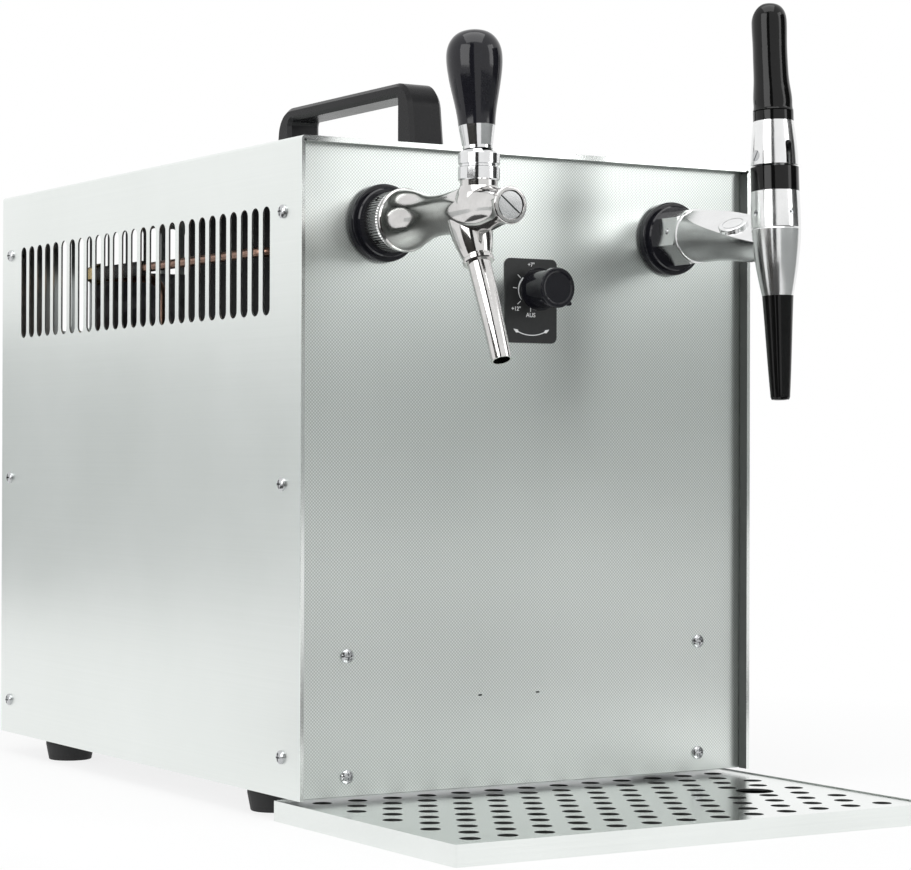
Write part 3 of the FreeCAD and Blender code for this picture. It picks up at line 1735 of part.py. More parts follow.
def inlet_nipple(i):
    """A threaded keg line inlet with a hexagon against the back panel."""
    place = inlet_place(i)
    hexagon = prism(polygon(6, inlet_hex_across), place, across, backward, inlet_hex_height)
    tail_start = place + outward * (sheet + inlet_tail)
    tail = rod(inlet_thread_radius, tail_start, backward, sheet + inlet_tail)
    thread = turned(
        (0, inlet_hex_height),
        [
            [(inlet_thread_radius - 0.6, inlet_hex_height)],
            [(inlet_thread_radius - 0.6, inlet_hex_height + 2)],
            [(inlet_thread_radius, inlet_hex_height + 2.6)],
            [(inlet_thread_radius, inlet_hex_height + inlet_thread_length - 1)],
            [(inlet_thread_radius - 1, inlet_hex_height + inlet_thread_length)],
            [(0, inlet_hex_height + inlet_thread_length)],
        ],
        place,
        backward,
    )
    bore = rod(inlet_bore, tail_start, backward, 100)
    return joined(hexagon, tail, thread).cut(bore)


def inlet_line(i):
    start = inlet_place(i) + outward * (sheet + inlet_tail)
    return rod(inlet_line_radius, start, outward, start.y - jacket_back_y)


def mount_places():
    return [
        vec(compressor_x + sx * mount_spacing_half, compressor_y + sy * mount_spacing_half, base_top)
        for sx in (-1, 1)
        for sy in (-1, 1)
    ]


def compressor_mount(place):
    mount = turned(
        (0, 0),
        [
            [(mount_radius, 0)],
            [(mount_radius, mount_height * 0.35)],
            [(mount_radius * 0.8, mount_height * 0.5), (mount_radius, mount_height * 0.65)],
            [(mount_radius, mount_height)],
            [(0, mount_height)],
        ],
        place,
        up,
    )
    return mount.cut(rod(mount_radius * 0.35, place - up, up, mount_height + 2))


compressor_low = base_top + mount_height
suction_stub_start = vec(compressor_x, compressor_y, casing_bottom + suction_stub_up)
suction_stub_end_y = compressor_y + compressor_radius + stub_length
discharge_stub_top = compressor_low + compressor_plate + compressor_height + stub_length


def compressor():
    """The welded steel shell of the hermetic compressor on its foot plate."""
    half = compressor_plate_half
    foot = compressor_low + compressor_plate
    plate = prism(
        rectangle(2 * half, 2 * half, 10),
        vec(compressor_x, compressor_y, compressor_low),
        across,
        up,
        compressor_plate,
    )
    top = compressor_height
    radius = compressor_radius
    seam = compressor_seam_at
    shell = turned(
        (0, -0.5),
        [
            [(radius * 0.72, -0.5)],
            [(radius * 0.84, 4.5), (radius * 0.93, 12), (radius * 0.975, 22), (radius - 0.6, 36)],
            [(radius - 0.6, seam)],
            [(radius + compressor_seam_width, seam)],
            [(radius + compressor_seam_width, seam + 2.5)],
            [(radius, seam + 2.5)],
            [(radius, top - 36)],
            [
                (radius * 0.96, top - 24),
                (radius * 0.84, top - 12),
                (radius * 0.6, top - 4),
                (radius * 0.3, top - 0.8),
                (0, top),
            ],
        ],
        vec(compressor_x, compressor_y, foot),
        up,
    )
    suction_stub = rod(stub_radius, suction_stub_start, backward, suction_stub_end_y - compressor_y)
    discharge_base = vec(compressor_x + discharge_stub_x, compressor_y, foot + top / 2)
    discharge_stub = rod(stub_radius, discharge_base, up, discharge_stub_top - discharge_base.z)
    bolts = [rod(mount_radius * 0.35, place, up, mount_height + 10) for place in mount_places()]
    return joined(shell, plate, suction_stub, discharge_stub).cut(Part.makeCompound(bolts))


def condenser():
    """Two end plates and a pack of fins on a row of tubes."""
    low = casing_bottom + condenser_low
    high = low + condenser_height
    back = condenser_front + condenser_thickness
    pieces = []
    for x in (condenser_left, condenser_right - condenser_plate):
        pieces.append(block(x, x + condenser_plate, condenser_front, back, base_top, high))
    tubes = []
    row_step = condenser_height / condenser_tube_rows
    for row in range(condenser_tube_rows):
        centre = vec(condenser_left, (condenser_front + back) / 2, low + row_step * (row + 0.5))
        tubes.append(rod(condenser_tube_radius, centre, across, condenser_right - condenser_left))
    fin_front = condenser_front + fin_inset
    fin_back = back - fin_inset
    count = int((condenser_right - condenser_left - 2 * condenser_plate) / fin_pitch)
    for i in range(1, count):
        x = condenser_left + condenser_plate + i * fin_pitch
        pieces.append(block(x, x + fin_thickness, fin_front, fin_back, low, high - fin_inset))
    return pieces[0].multiFuse(pieces[1:] + tubes)


def suction_line():
    """The bare copper run that shows through the side vents."""
    high = suction_z
    points = [
        vec(-jacket_half, suction_start_y, high),
        vec(suction_x, suction_start_y, high),
        vec(suction_x, suction_bare_end_y, high),
    ]
    first = pipe(points, pipe_radius, pipe_bend)
    low = suction_stub_start.z
    middle = discharge_stub_top + suction_over_compressor
    turn_y = suction_sleeve_end_y + suction_nut_length + suction_turn_gap
    points = [
        vec(suction_x, suction_sleeve_end_y + suction_nut_length, high),
        vec(suction_x, turn_y, high),
        vec(compressor_x, turn_y, high),
        vec(compressor_x, turn_y, middle),
        vec(compressor_x, suction_down_y, middle),
        vec(compressor_x, suction_down_y, low),
        vec(compressor_x, suction_stub_end_y, low),
    ]
    second = pipe(points, pipe_radius, pipe_bend)
    return first, second


def suction_sleeve():
    length = suction_sleeve_end_y - suction_bare_end_y
    return rod(suction_sleeve_radius, vec(suction_x, suction_bare_end_y, suction_z), backward, length)


def suction_nut():
    seat = vec(suction_x, suction_sleeve_end_y, suction_z)
    return prism(polygon(6, suction_nut_across), seat, across, backward, suction_nut_length)


def discharge_line():
    x = compressor_x + discharge_stub_x
    high = discharge_stub_top + discharge_rise
    points = [
        vec(x, compressor_y, discharge_stub_top),
        vec(x, compressor_y, high),
        vec(x, discharge_y, high),
        vec(condenser_left, discharge_y, high),
    ]
    return pipe(points, pipe_radius, pipe_bend)


def filter_drier():
    end = drier_length
    neck = 9.0
    return turned(
        (0, 0),
        [
            [(pipe_radius + 1.2, 0)],
            [(pipe_radius + 1.2, 2)],
            [(drier_radius, neck)],
            [(drier_radius, end - neck)],
            [(pipe_radius, end - 1)],
            [(pipe_radius, end)],
            [(0, end)],
        ],
        vec(drier_x, condenser_front + fin_inset, casing_bottom + drier_up),
        outward,
    )


def capillary_tube():
    z = casing_bottom + drier_up
    high = casing_bottom + thin_tube_up
    points = [
        vec(drier_x, condenser_front + fin_inset - drier_length, z),
        vec(drier_x, thin_tube_y, z),
        vec(drier_x, thin_tube_y, high),
        vec(jacket_half, thin_tube_y, high),
    ]
    return pipe(points, thin_tube_radius, 6)


def fan_centre(y):
    return vec(fan_x, y, fan_z)


def fan_shroud():
    low = base_top
    high = casing_top - shroud_below_top
    plate = block(shroud_left, shroud_right, shroud_y, shroud_back_y, low, high)
    ear_left = shroud_left - shroud_ear_width
    ear = block(ear_left, shroud_left, shroud_y, shroud_back_y, casing_bottom + shroud_ear_up, high)
    plate = joined(plate, ear)
    plate = plate.cut(rod(fan_hole_radius, fan_centre(shroud_y - 1), backward, sheet + 2))
    ring = rod(fan_hole_radius + sheet, fan_centre(shroud_y), backward, rear_inner_y - shroud_y - fit_gap)
    ring = ring.cut(rod(fan_hole_radius, fan_centre(shroud_y - 1), backward, 100))
    return joined(plate, ring)


def fan_bracket():
    """Four arms and a hoop that hold the fan motor in front of the shroud."""
    reach = fan_hole_radius + 6
    half = fan_bracket_width / 2
    y0 = shroud_y - base_sheet
    arm_x = block(fan_x - reach, fan_x + reach, y0, shroud_y, fan_z - half, fan_z + half)
    arm_z = block(fan_x - half, fan_x + half, y0, shroud_y, fan_z - reach, fan_z + reach)
    hoop = rod(fan_motor_radius + 4, fan_centre(y0), backward, base_sheet)
    bracket = joined(arm_x, arm_z, hoop)
    return bracket.cut(rod(fan_motor_radius, fan_centre(y0 - 1), backward, base_sheet + 2))


def fan_motor():
    front = shroud_back_y - fan_motor_length
    motor = turned(
        (0, 0),
        [
            [(fan_motor_radius * 0.5, 0)],
            [(fan_motor_radius * 0.85, 1.0), (fan_motor_radius, 6)],
            [(fan_motor_radius, fan_motor_length)],
            [(0, fan_motor_length)],
        ],
        fan_centre(front),
        backward,
    )
    shaft = rod(fan_shaft_radius, fan_centre(front), backward, fan_shaft_end - front)
    return joined(motor, shaft)


def fan_blades():
    """A moulded rotor: a cup hub and twisted flat blades."""
    start = shroud_y + fan_hub_start
    hub = turned(
        (0, 0),
        [
            [(fan_hub_radius, 0)],
            [(fan_hub_radius, fan_hub_depth - 4)],
            [(fan_hub_radius - 1.2, fan_hub_depth - 1.2), (fan_hub_radius - 4, fan_hub_depth)],
            [(0, fan_hub_depth)],
        ],
        fan_centre(start),
        backward,
    )
    middle = start + fan_hub_depth / 2
    blades = []
    for i in range(fan_blade_count):
        blade = block(
            -fan_blade_chord / 2,
            fan_blade_chord / 2,
            -fan_blade_thickness / 2,
            fan_blade_thickness / 2,
            fan_hub_radius - 4,
            fan_blade_reach,
        )
        blade.rotate(vec(0, 0, 0), up, fan_blade_pitch)
        blade.rotate(vec(0, 0, 0), backward, 360 * i / fan_blade_count)
        blade.translate(fan_centre(middle))
        blades.append(blade)
    limit = rod(fan_blade_reach, fan_centre(start), backward, fan_hub_depth)
    rotor = joined(hub, *blades).common(limit)
    bore = rod(fan_shaft_radius + fan_shaft_gap, fan_centre(start - 1), backward, fan_shaft_end + 1.5 - start)
    return rotor.cut(bore)


def fan_guard():
    """A finger guard of wire rings on four spokes, with a screw lug at each spoke's end."""
    spoke_y = rear_y + guard_wire_radius
    ring_y = spoke_y + 1.5 * guard_wire_radius
    outer = guard_ring_outer - guard_lug_radius
    radii = [guard_ring_step * (i + 1) for i in range(guard_ring_count - 1)] + [outer]
    rings = [Part.makeTorus(radius, guard_wire_radius, fan_centre(ring_y), backward) for radius in radii]
    arms = []
    for seat, direction in guard_screw_seats:
        ray = vec(seat.x - fan_x, 0, seat.z - fan_z).normalize()
        arms.append(rod(guard_wire_radius, fan_centre(spoke_y), ray, guard_ring_outer - 6))
        arms.append(rod(guard_lug_radius, vec(seat.x, rear_y, seat.z), backward, sheet))
    disc = rod(guard_ring_step * 0.7, fan_centre(rear_y + 0.4), backward, 2 * guard_wire_radius)
    guard = disc.multiFuse(arms)
    for ring in rings:
        guard = guard.fuse(ring)
    return cut_screw_holes(guard, guard_screw_seats, 3 * sheet)


def power_inlet():
    """A three pin mains inlet with its flange against the back panel."""
    place = vec(power_inlet_x, rear_y, casing_bottom + power_inlet_up)
    width = power_inlet_width
    height = power_inlet_height
    border = power_inlet_border
    rim = rectangle(width + 4 * border, height + border, 3)
    flange = prism(rim, place, across, backward, power_inlet_flange)
    box_front = electrical_back_y()
    start = vec(place.x, box_front, place.z)
    shell = prism(rectangle(width, height, 1.0), start, across, backward, rear_y - box_front)
    cavity_start = place + backward * (power_inlet_flange - power_inlet_cavity)
    hollow = rectangle(width - 3, height - 3, 3)
    cavity = prism(hollow, cavity_start, across, backward, 2 * power_inlet_cavity)
    inlet = joined(flange, shell).cut(cavity)
    pins = []
    for x, z in ((-7, -1), (0, 3), (7, -1)):
        centre = cavity_start + vec(x, 0, z) - backward
        pins.append(prism(rectangle(2, 4, 0.3), centre, across, backward, power_pin_length))
    return joined(inlet, *pins)


def electrical_back_y():
    return shroud_y + electrical_gap


def electrical_box():
    back = electrical_back_y()
    half = electrical_width / 2
    low = base_top
    left = power_inlet_x - half
    box = block(left, left + electrical_width, back - electrical_depth, back, low, low + electrical_height)
    edges = [edge for edge in box.Edges if edge.BoundBox.ZLength > electrical_height - 1]
    return box.makeFillet(3, edges)


def main():
    os.makedirs("parts", exist_ok=True)
    sides = (-1, 1)
    save("base_pan", base_pan())
    save("cover_hood", cover_hood())
    save("front_panel", front_panel())
    save("rear_panel", rear_panel())
    save("hood_screws", *[pan_screw(seat, direction) for seat, direction in side_screw_seats])
    save("front_panel_screws", *[pan_screw(seat, direction) for seat, direction in front_screw_seats])
    back_seats = rear_screw_seats + guard_screw_seats
    save("rear_panel_screws", *[pan_screw(seat, direction) for seat, direction in back_seats])
    save("rubber_feet", *[rubber_foot(place) for place in foot_places()])
    save("foot_screws", *[foot_screw(place) for place in foot_places()])
    save("carry_handle", carry_handle())
    save("handle_screws", *[handle_screw(seat) for seat in handle_screw_seats(sheet)])
    save("drip_tray_pan", drip_tray_pan())
    save("drip_grate", drip_grate())
    save("dial_plate", dial_plate())
    save("thermostat_body", thermostat_body())
    save("thermostat_nut", thermostat_nut())
    save("thermostat_knob", thermostat_knob())
    save("thermostat_capillary", thermostat_capillary())
    save("tap_rosettes", *[tap_rosette(side) for side in sides])
    save("tap_shanks", *[tap_shank(side) for side in sides])
    save("shank_nuts", *[shank_nut(side) for side in sides])
    save("tap_feed_tubes", *[tap_feed_tube(side) for side in sides])
    save("flow_tap_coupling_nut", flow_tap_coupling_nut())
    save("flow_tap_body", flow_tap_body())
    save("flow_tap_spout", flow_tap_spout())
    save("flow_compensator_screw", flow_compensator_screw())
    save("flow_valve_rod", flow_valve_rod())
    save("flow_lever_collar", flow_lever_collar())
    save("flow_lever", flow_lever())
    save("flow_lever_grip", flow_lever_grip())
    save("stout_coupling_nut", stout_coupling_nut())
    save("stout_tap_body", stout_tap_body())
    save("stout_set_screws", *[stout_set_screw(ray) for ray in set_screw_rays()])
    save("stout_nozzle", stout_nozzle())
    save("stout_restrictor_disc", stout_restrictor_disc())
    save("stout_lever_cup", stout_lever_cup())
    save("stout_lever_sleeve", stout_lever_sleeve())
    save("stout_pivot_screw", stout_pivot_screw())
    save("stout_lever_grip", stout_lever_grip())
    save("cooling_block", cooling_block())
    save("insulation_jacket", insulation_jacket())
    save("block_brackets", *[block_bracket(side) for side in sides])
    save("inlet_nipples", *[inlet_nipple(i) for i in range(2)])
    save("inlet_lines", *[inlet_line(i) for i in range(2)])
    save("compressor", compressor())
    save("compressor_mounts", *[compressor_mount(place) for place in mount_places()])
    save("condenser", condenser())
    save("suction_line", *suction_line())
    save("suction_sleeve", suction_sleeve())
    save("suction_nut", suction_nut())
    save("discharge_line", discharge_line())
    save("filter_drier", filter_drier())
    save("capillary_tube", capillary_tube())
    save("fan_shroud", fan_shroud())
    save("fan_bracket", fan_bracket())
    save("fan_motor", fan_motor())
    save("fan_blades", fan_blades())
    save("fan_guard", fan_guard())
    save("power_inlet", power_inlet())
    save("electrical_box", electrical_box())


main()
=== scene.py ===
import json
import math

import bmesh
import bpy
from mathutils import Matrix, Vector


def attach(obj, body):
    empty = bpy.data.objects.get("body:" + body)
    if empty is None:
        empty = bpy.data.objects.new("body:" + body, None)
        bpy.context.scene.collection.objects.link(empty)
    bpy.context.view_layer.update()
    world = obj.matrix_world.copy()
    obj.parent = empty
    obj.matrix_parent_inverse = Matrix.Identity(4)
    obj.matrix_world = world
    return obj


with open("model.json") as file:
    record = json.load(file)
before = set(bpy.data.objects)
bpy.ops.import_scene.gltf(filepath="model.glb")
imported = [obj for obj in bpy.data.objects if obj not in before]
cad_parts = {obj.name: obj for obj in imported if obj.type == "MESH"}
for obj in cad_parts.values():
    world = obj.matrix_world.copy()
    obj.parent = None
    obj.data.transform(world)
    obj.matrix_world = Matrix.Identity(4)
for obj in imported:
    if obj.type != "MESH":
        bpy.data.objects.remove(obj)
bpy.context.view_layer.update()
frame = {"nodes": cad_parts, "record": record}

nodes = frame["nodes"]
MM = 0.001

# The casing's place in the frame, in millimetres: how far back it lies and how high its underside is
CASING_BACK = 74.0
FOOT_HEIGHT = 15.0

# Camera, solved from the photo's edges. Its place is in millimetres from the casing's own origin, and
# its angles are in degrees
CAMERA_X, CAMERA_Y, CAMERA_Z = -918.75, -1640.92, 209.12
CAMERA_YAW = 31.454
CAMERA_PITCH = 0.393
CAMERA_ROLL = 0.168
FOCAL_PIXELS = 2651.54
PHOTO_WIDTH_PIXELS = 911
SENSOR_WIDTH = 36.0
CLIP_END = 50

# Edges that split one sheet into looks, in metres
HOOD_MIDDLE_Z = 0.2
# INSIDE_FROM and INSIDE_TO bound the painted shade on the hood's inner faces
INSIDE_FROM, INSIDE_TO = -0.05, -0.02
HEM_FROM, HEM_TO = -0.1632, -0.1630
# PAN_FLOOR_FROM, PAN_FLOOR_TO and FLAT_FROM, FLAT_TO bound the painted shade on the pan's floor and the
# grate's hole walls
PAN_FLOOR_FROM, PAN_FLOOR_TO = 0.0085, 0.0095

# A face is a wall where its normal's upright part is under the first, and level over the second
FLAT_FROM, FLAT_TO = 0.4, 0.6

# Pitch of the front panel's dots and axis of the left tap, in metres
DOT_PITCH = 0.0021
LEFT_TAP_X, LEFT_TAP_Z = -0.1085, 0.365

SPANGLE_SCALE = 90.0
KNURL_RIDGES = 64.0
SHARP_ANGLE_DEGREES = 32.0

# Grain of a brushed sheet: noise stretched along the brushing
HOOD_GRAIN = (30, 3, 900)
SHEET_GRAIN = (6, 500, 500)

# Nodes that wear a variant of their slot's material
SPECIAL = {
    "flow_tap_coupling_nut": "knurled_chrome",
    "flow_tap_body": "dark_chrome",
    "flow_tap_spout": "dark_chrome",
    "stout_coupling_nut": "satin_chrome",
    "stout_tap_body": "satin_chrome",
    "stout_lever_sleeve": "satin_chrome",
    "stout_lever_grip": "gloss_black",
    "stout_lever_cup": "gloss_black",
    "stout_nozzle": "gloss_black",
    "drip_tray_pan": "pan_sheet",
    "drip_grate": "grate_sheet",
}

# Marks of the dial, in millimetres and degrees. DIAL_Z counts from the floor, and the heights of the
# words and the arrow from the casing's underside. A word's row ends with the height of its capitals
DIAL_Z = 327.8
PLATE_Y = -156.5
MARK_THICK = 0.06
TYPE_PER_CAPITAL = 1.38
TYPE_SWELL = 0.05
WORDS = (
    ("mark_cold", "+7°", 0.0, 328.8, 2.6),
    ("mark_warm", "+12°", -11.3, 300.6, 2.6),
    ("mark_off", "AUS", -0.3, 296.8, 2.8),
)
TICKS = (("tick_high", 137.0), ("tick_middle", 175.0), ("tick_low", 222.0), ("tick_off", 268.0))
TICK_START = 10.8
TICK_END = 13.8
TICK_WIDTH = 0.5
WEDGE_STEPS = 18
WEDGE_START, WEDGE_SWEEP = 128, 92
WEDGE_RADIUS, WEDGE_GROWTH = 9.5, 0.15
WEDGE_WIDTH, WEDGE_TAPER = 1.3, 1.0
ARROW_STEPS = 20
ARROW_X, ARROW_Z = 0.2, 309.5
ARROW_RADIUS = 25.4
ARROW_START, ARROW_SWEEP = 238, 64
ARROW_HEAD_SHARE = 0.105
ARROW_BARB_SHARE = 0.1
ARROW_TIP_WIDTH, ARROW_SPREAD = 0.1, 2.2
ARROW_BARB_WIDTH = 2.3
ARROW_SHAFT_WIDTH = 0.55

# Studio, in metres. A lamp's row has its place, its two sizes and its power in watts
AMBIENT_COLOUR = (0.97, 0.985, 1.0)
AMBIENT_STRENGTH = 0.55
FLOOR_SIZE = 28.0
FLOOR_GREY = 0.86
GLOW_NEAR, GLOW_FAR = 0.30, 0.75
GLOW_NEAR_SHARE, GLOW_FAR_SHARE = 0.80, 1.0
LAMP_AIM = (0, 0, 0.2)
LAMPS = (
    ("top", (-0.3, -0.5, 2.2), (2.0, 2.0), 26),
    ("left", (-2.2, -0.9, 1.2), (1.6, 1.6), 20),
    ("right", (1.7, -2.0, 1.3), (1.2, 1.4), 12),
)
# Name, middle, width, height, point faced and colour of each card that only reflections see
CARDS = (
    ("front_band", (0.42, -0.80, 0.30), 1.50, 0.28, (0.0, -0.165, 0.30), (0.37, 0.38, 0.375)),
    ("side_band", (-0.62, 0.86, 0.21), 1.30, 0.28, (-0.17, 0.07, 0.21), (0.62, 0.63, 0.625)),
    ("dark_right", (1.25, -0.80, 0.45), 0.9, 1.2, (0.17, -0.17, 0.25), (0.02, 0.02, 0.02)),
    ("camera_strip", (-1.77, -2.07, 1.3), 0.80, 3.0, (0.11, -0.27, 1.3), (0.002, 0.002, 0.002)),
    ("under_front", (0.0, -0.80, 0.01), 1.3, 0.62, (0.0, -0.80, 1.0), (0.03, 0.03, 0.03)),
    ("under_left", (-0.70, -0.30, 0.01), 0.7, 1.0, (-0.70, -0.30, 1.0), (0.05, 0.05, 0.05)),
    ("camera_low", (-0.62, -0.86, 0.10), 0.9, 0.22, (0.0, -0.25, 0.10), (0.05, 0.048, 0.046)),
    ("tap_shade", (-0.38, -0.37, 0.30), 0.30, 0.24, (-0.11, -0.28, 0.30), (0.03, 0.026, 0.022)),
)


# Camera
def set_camera():
    yaw = math.radians(CAMERA_YAW)
    pitch = math.radians(CAMERA_PITCH)
    roll = math.radians(CAMERA_ROLL)
    forward = Vector((math.sin(yaw) * math.cos(pitch), math.cos(yaw) * math.cos(pitch), math.sin(pitch)))
    right = Vector((math.cos(yaw), -math.sin(yaw), 0))
    upward = right.cross(forward)
    x_axis = right * math.cos(roll) + upward * math.sin(roll)
    y_axis = -right * math.sin(roll) + upward * math.cos(roll)
    data = bpy.data.cameras.new("camera")
    data.sensor_width = SENSOR_WIDTH
    data.lens = FOCAL_PIXELS / PHOTO_WIDTH_PIXELS * SENSOR_WIDTH
    data.clip_end = CLIP_END
    camera = bpy.data.objects.new("camera", data)
    matrix = Matrix((x_axis, y_axis, -forward)).transposed().to_4x4()
    matrix.translation = Vector((CAMERA_X, CAMERA_Y + CASING_BACK, CAMERA_Z + FOOT_HEIGHT)) * MM
    camera.matrix_world = matrix
    bpy.context.scene.collection.objects.link(camera)
    bpy.context.scene.camera = camera


# Materials
class Shade:
    """A principled material with its texture nodes."""

    def __init__(self, name, metallic=1.0):
        self.mat = bpy.data.materials.new(name)
        self.mat.use_nodes = True
        self.tree = self.mat.node_tree
        self.bsdf = self.tree.nodes["Principled BSDF"]
        self.bsdf.inputs["Metallic"].default_value = metallic
        coord = self.add("ShaderNodeTexCoord")
        self.place = coord.outputs["Object"]
        self.normal = coord.outputs["Normal"]

    def add(self, kind, **values):
        node = self.tree.nodes.new(kind)
        for key, value in values.items():
            setattr(node, key, value)
        return node

    def join(self, a, b):
        self.tree.links.new(a, b)

    def noise(self, scale, detail, rough, stretch=(1, 1, 1)):
        mapping = self.add("ShaderNodeMapping")
        mapping.inputs["Scale"].default_value = stretch
        self.join(self.place, mapping.inputs["Vector"])
        node = self.add("ShaderNodeTexNoise")
        node.inputs["Scale"].default_value = scale
        node.inputs["Detail"].default_value = detail
        node.inputs["Roughness"].default_value = rough
        self.join(mapping.outputs["Vector"], node.inputs["Vector"])
        return node.outputs["Fac"]

    def math(self, operation, a, b=0.0):
        node = self.add("ShaderNodeMath", operation=operation)
        for socket, value in zip(node.inputs, (a, b)):
            if isinstance(value, (int, float)):
                socket.default_value = value
            else:
                self.join(value, socket)
        return node.outputs[0]

    def blend(self, first, second, share):
        """The sum of a share of the first value and the rest of the second."""
        part = self.math("MULTIPLY", first, share)
        rest = self.math("MULTIPLY", second, 1.0 - share)
        return self.math("ADD", part, rest)

    def spread(self, value, low, high, from_low=0.3, from_high=0.7):
        """The value mapped from its own range to low at one end and high at the other."""
        node = self.add("ShaderNodeMapRange")
        node.inputs["From Min"].default_value = from_low
        node.inputs["From Max"].default_value = from_high
        node.inputs["To Min"].default_value = low
        node.inputs["To Max"].default_value = high
        self.join(value, node.inputs["Value"])
        return node.outputs["Result"]

    def colours(self, value, dark, light, painted_shade_factor=None):
        """A base colour from dark to light, darkened where dim is given: that darkening is painted shade.
        """
        ramp = self.add("ShaderNodeValToRGB")
        ramp.color_ramp.elements[0].position = 0.25
        ramp.color_ramp.elements[1].position = 0.75
        ramp.color_ramp.elements[0].color = (*dark, 1)
        ramp.color_ramp.elements[1].color = (*light, 1)
        self.join(value, ramp.inputs["Fac"])
        colour = ramp.outputs["Color"]
        if painted_shade_factor is not None:
            scale = self.add("ShaderNodeVectorMath", operation="SCALE")
            self.join(colour, scale.inputs[0])
            self.join(painted_shade_factor, scale.inputs["Scale"])
            colour = scale.outputs["Vector"]
        self.join(colour, self.bsdf.inputs["Base Color"])

    def roughness(self, value):
        self.join(value, self.bsdf.inputs["Roughness"])

    def bump(self, height, distance, strength):
        node = self.add("ShaderNodeBump")
        node.inputs["Strength"].default_value = strength
        node.inputs["Distance"].default_value = distance
        self.join(height, node.inputs["Height"])
        self.join(node.outputs["Normal"], self.bsdf.inputs["Normal"])

    def split(self, vector):
        node = self.add("ShaderNodeSeparateXYZ")
        self.join(vector, node.inputs["Vector"])
        return node.outputs["X"], node.outputs["Y"], node.outputs["Z"]

    def wave(self, value, pitch):
        return self.math("SINE", self.math("MULTIPLY", value, 2 * math.pi / pitch))


def satin_steel(name, dark, light, low, high):
    s = Shade(name)
    grain = s.noise(1.0, 4.0, 0.6, SHEET_GRAIN)
    both = s.blend(grain, s.noise(9.0, 3.0, 0.5), 0.55)
    s.colours(both, dark, light)
    s.roughness(s.spread(both, low, high))
    s.bump(grain, 0.00002, 0.5)
    return s.mat


def casing_sheet(name):
    """Satin sheet for the hood. Its rolled front edge is smoother, and its inner faces are rougher and
    carry painted shade that darkens their colour.
    """
    s = Shade(name)
    grain = s.noise(1.0, 4.0, 0.6, HOOD_GRAIN)
    both = s.blend(grain, s.noise(9.0, 3.0, 0.5), 0.35)
    x, y, z = s.split(s.place)
    normal_x, _, normal_z = s.split(s.normal)
    outward = s.math("MULTIPLY", x, normal_x)
    upward = s.math("MULTIPLY", s.math("SUBTRACT", z, HOOD_MIDDLE_Z), normal_z)
    # Painted shade: the inner faces of the hood's walls and top are marked here, darkened in the base
    # colour and made rougher
    side = s.spread(outward, 1.0, 0.0, INSIDE_FROM, INSIDE_TO)
    under = s.spread(upward, 0.5, 0.0, INSIDE_FROM, INSIDE_TO)
    inside_shade = s.math("MAXIMUM", side, under)
    painted_shade_factor = s.math("SUBTRACT", 1.0, s.math("MULTIPLY", inside_shade, 0.8))
    s.colours(both, (0.805, 0.84, 0.815), (0.875, 0.905, 0.885), painted_shade_factor)
    hem = s.spread(y, 1.0, 0.0, HEM_FROM, HEM_TO)
    plain = s.math("ADD", s.spread(both, 0.28, 0.33), s.math("MULTIPLY", inside_shade, 0.2))
    s.roughness(s.math("SUBTRACT", plain, s.math("MULTIPLY", hem, 0.14)))
    s.bump(grain, 0.000008, 0.5)
    return s.mat


def dotted_steel(name):
    """Stainless sheet with a fine embossed grid of dots."""
    s = Shade(name)
    x, _, z = s.split(s.place)
    grid = s.math("MULTIPLY", s.wave(x, DOT_PITCH), s.wave(z, DOT_PITCH))
    dots = s.math("ADD", s.math("MULTIPLY", grid, 0.5), 0.5)
    cloud = s.noise(5.0, 3.0, 0.5)
    s.colours(s.blend(dots, cloud, 0.7), (0.55, 0.59, 0.565), (0.90, 0.94, 0.915))
    s.roughness(s.spread(cloud, 0.28, 0.30))
    s.bump(dots, 0.00003, 0.8)
    return s.mat


def tray_sheet(name, is_grate):
    """Brushed sheet of the tray. The pan's floor and the walls of the grate's holes are rougher and carry
    painted shade that darkens their colour.
    """
    s = Shade(name)
    grain = s.noise(1.0, 4.0, 0.6, SHEET_GRAIN)
    both = s.blend(grain, s.noise(9.0, 3.0, 0.5), 0.4)
    _, _, z = s.split(s.place)
    _, _, normal_z = s.split(s.normal)
    if is_grate:
        shade_and_dull = s.spread(s.math("ABSOLUTE", normal_z), 0.9, 0.0, FLAT_FROM, FLAT_TO)
    else:
        low = s.spread(z, 0.9, 0.0, PAN_FLOOR_FROM, PAN_FLOOR_TO)
        shade_and_dull = s.math("MULTIPLY", low, s.spread(normal_z, 0.0, 1.0, FLAT_FROM, FLAT_TO))
    # Painted shade: the masked floor and hole walls are darkened in the base colour, and made rougher
    # below
    s.colours(both, (0.78, 0.81, 0.79), (0.90, 0.93, 0.91), s.math("SUBTRACT", 1.0, shade_and_dull))
    s.roughness(s.math("ADD", s.spread(both, 0.14, 0.24), s.math("MULTIPLY", shade_and_dull, 0.3)))
    s.bump(grain, 0.000008, 0.5)
    return s.mat


def polished(name, dark=(0.72, 0.725, 0.73), light=(0.84, 0.845, 0.85), low=0.09, high=0.14):
    s = Shade(name)
    cloud = s.noise(60.0, 4.0, 0.6)
    s.colours(cloud, dark, light)
    s.roughness(s.spread(cloud, low, high))
    s.bump(s.noise(25.0, 2.0, 0.5), 0.00003, 0.25)
    return s.mat


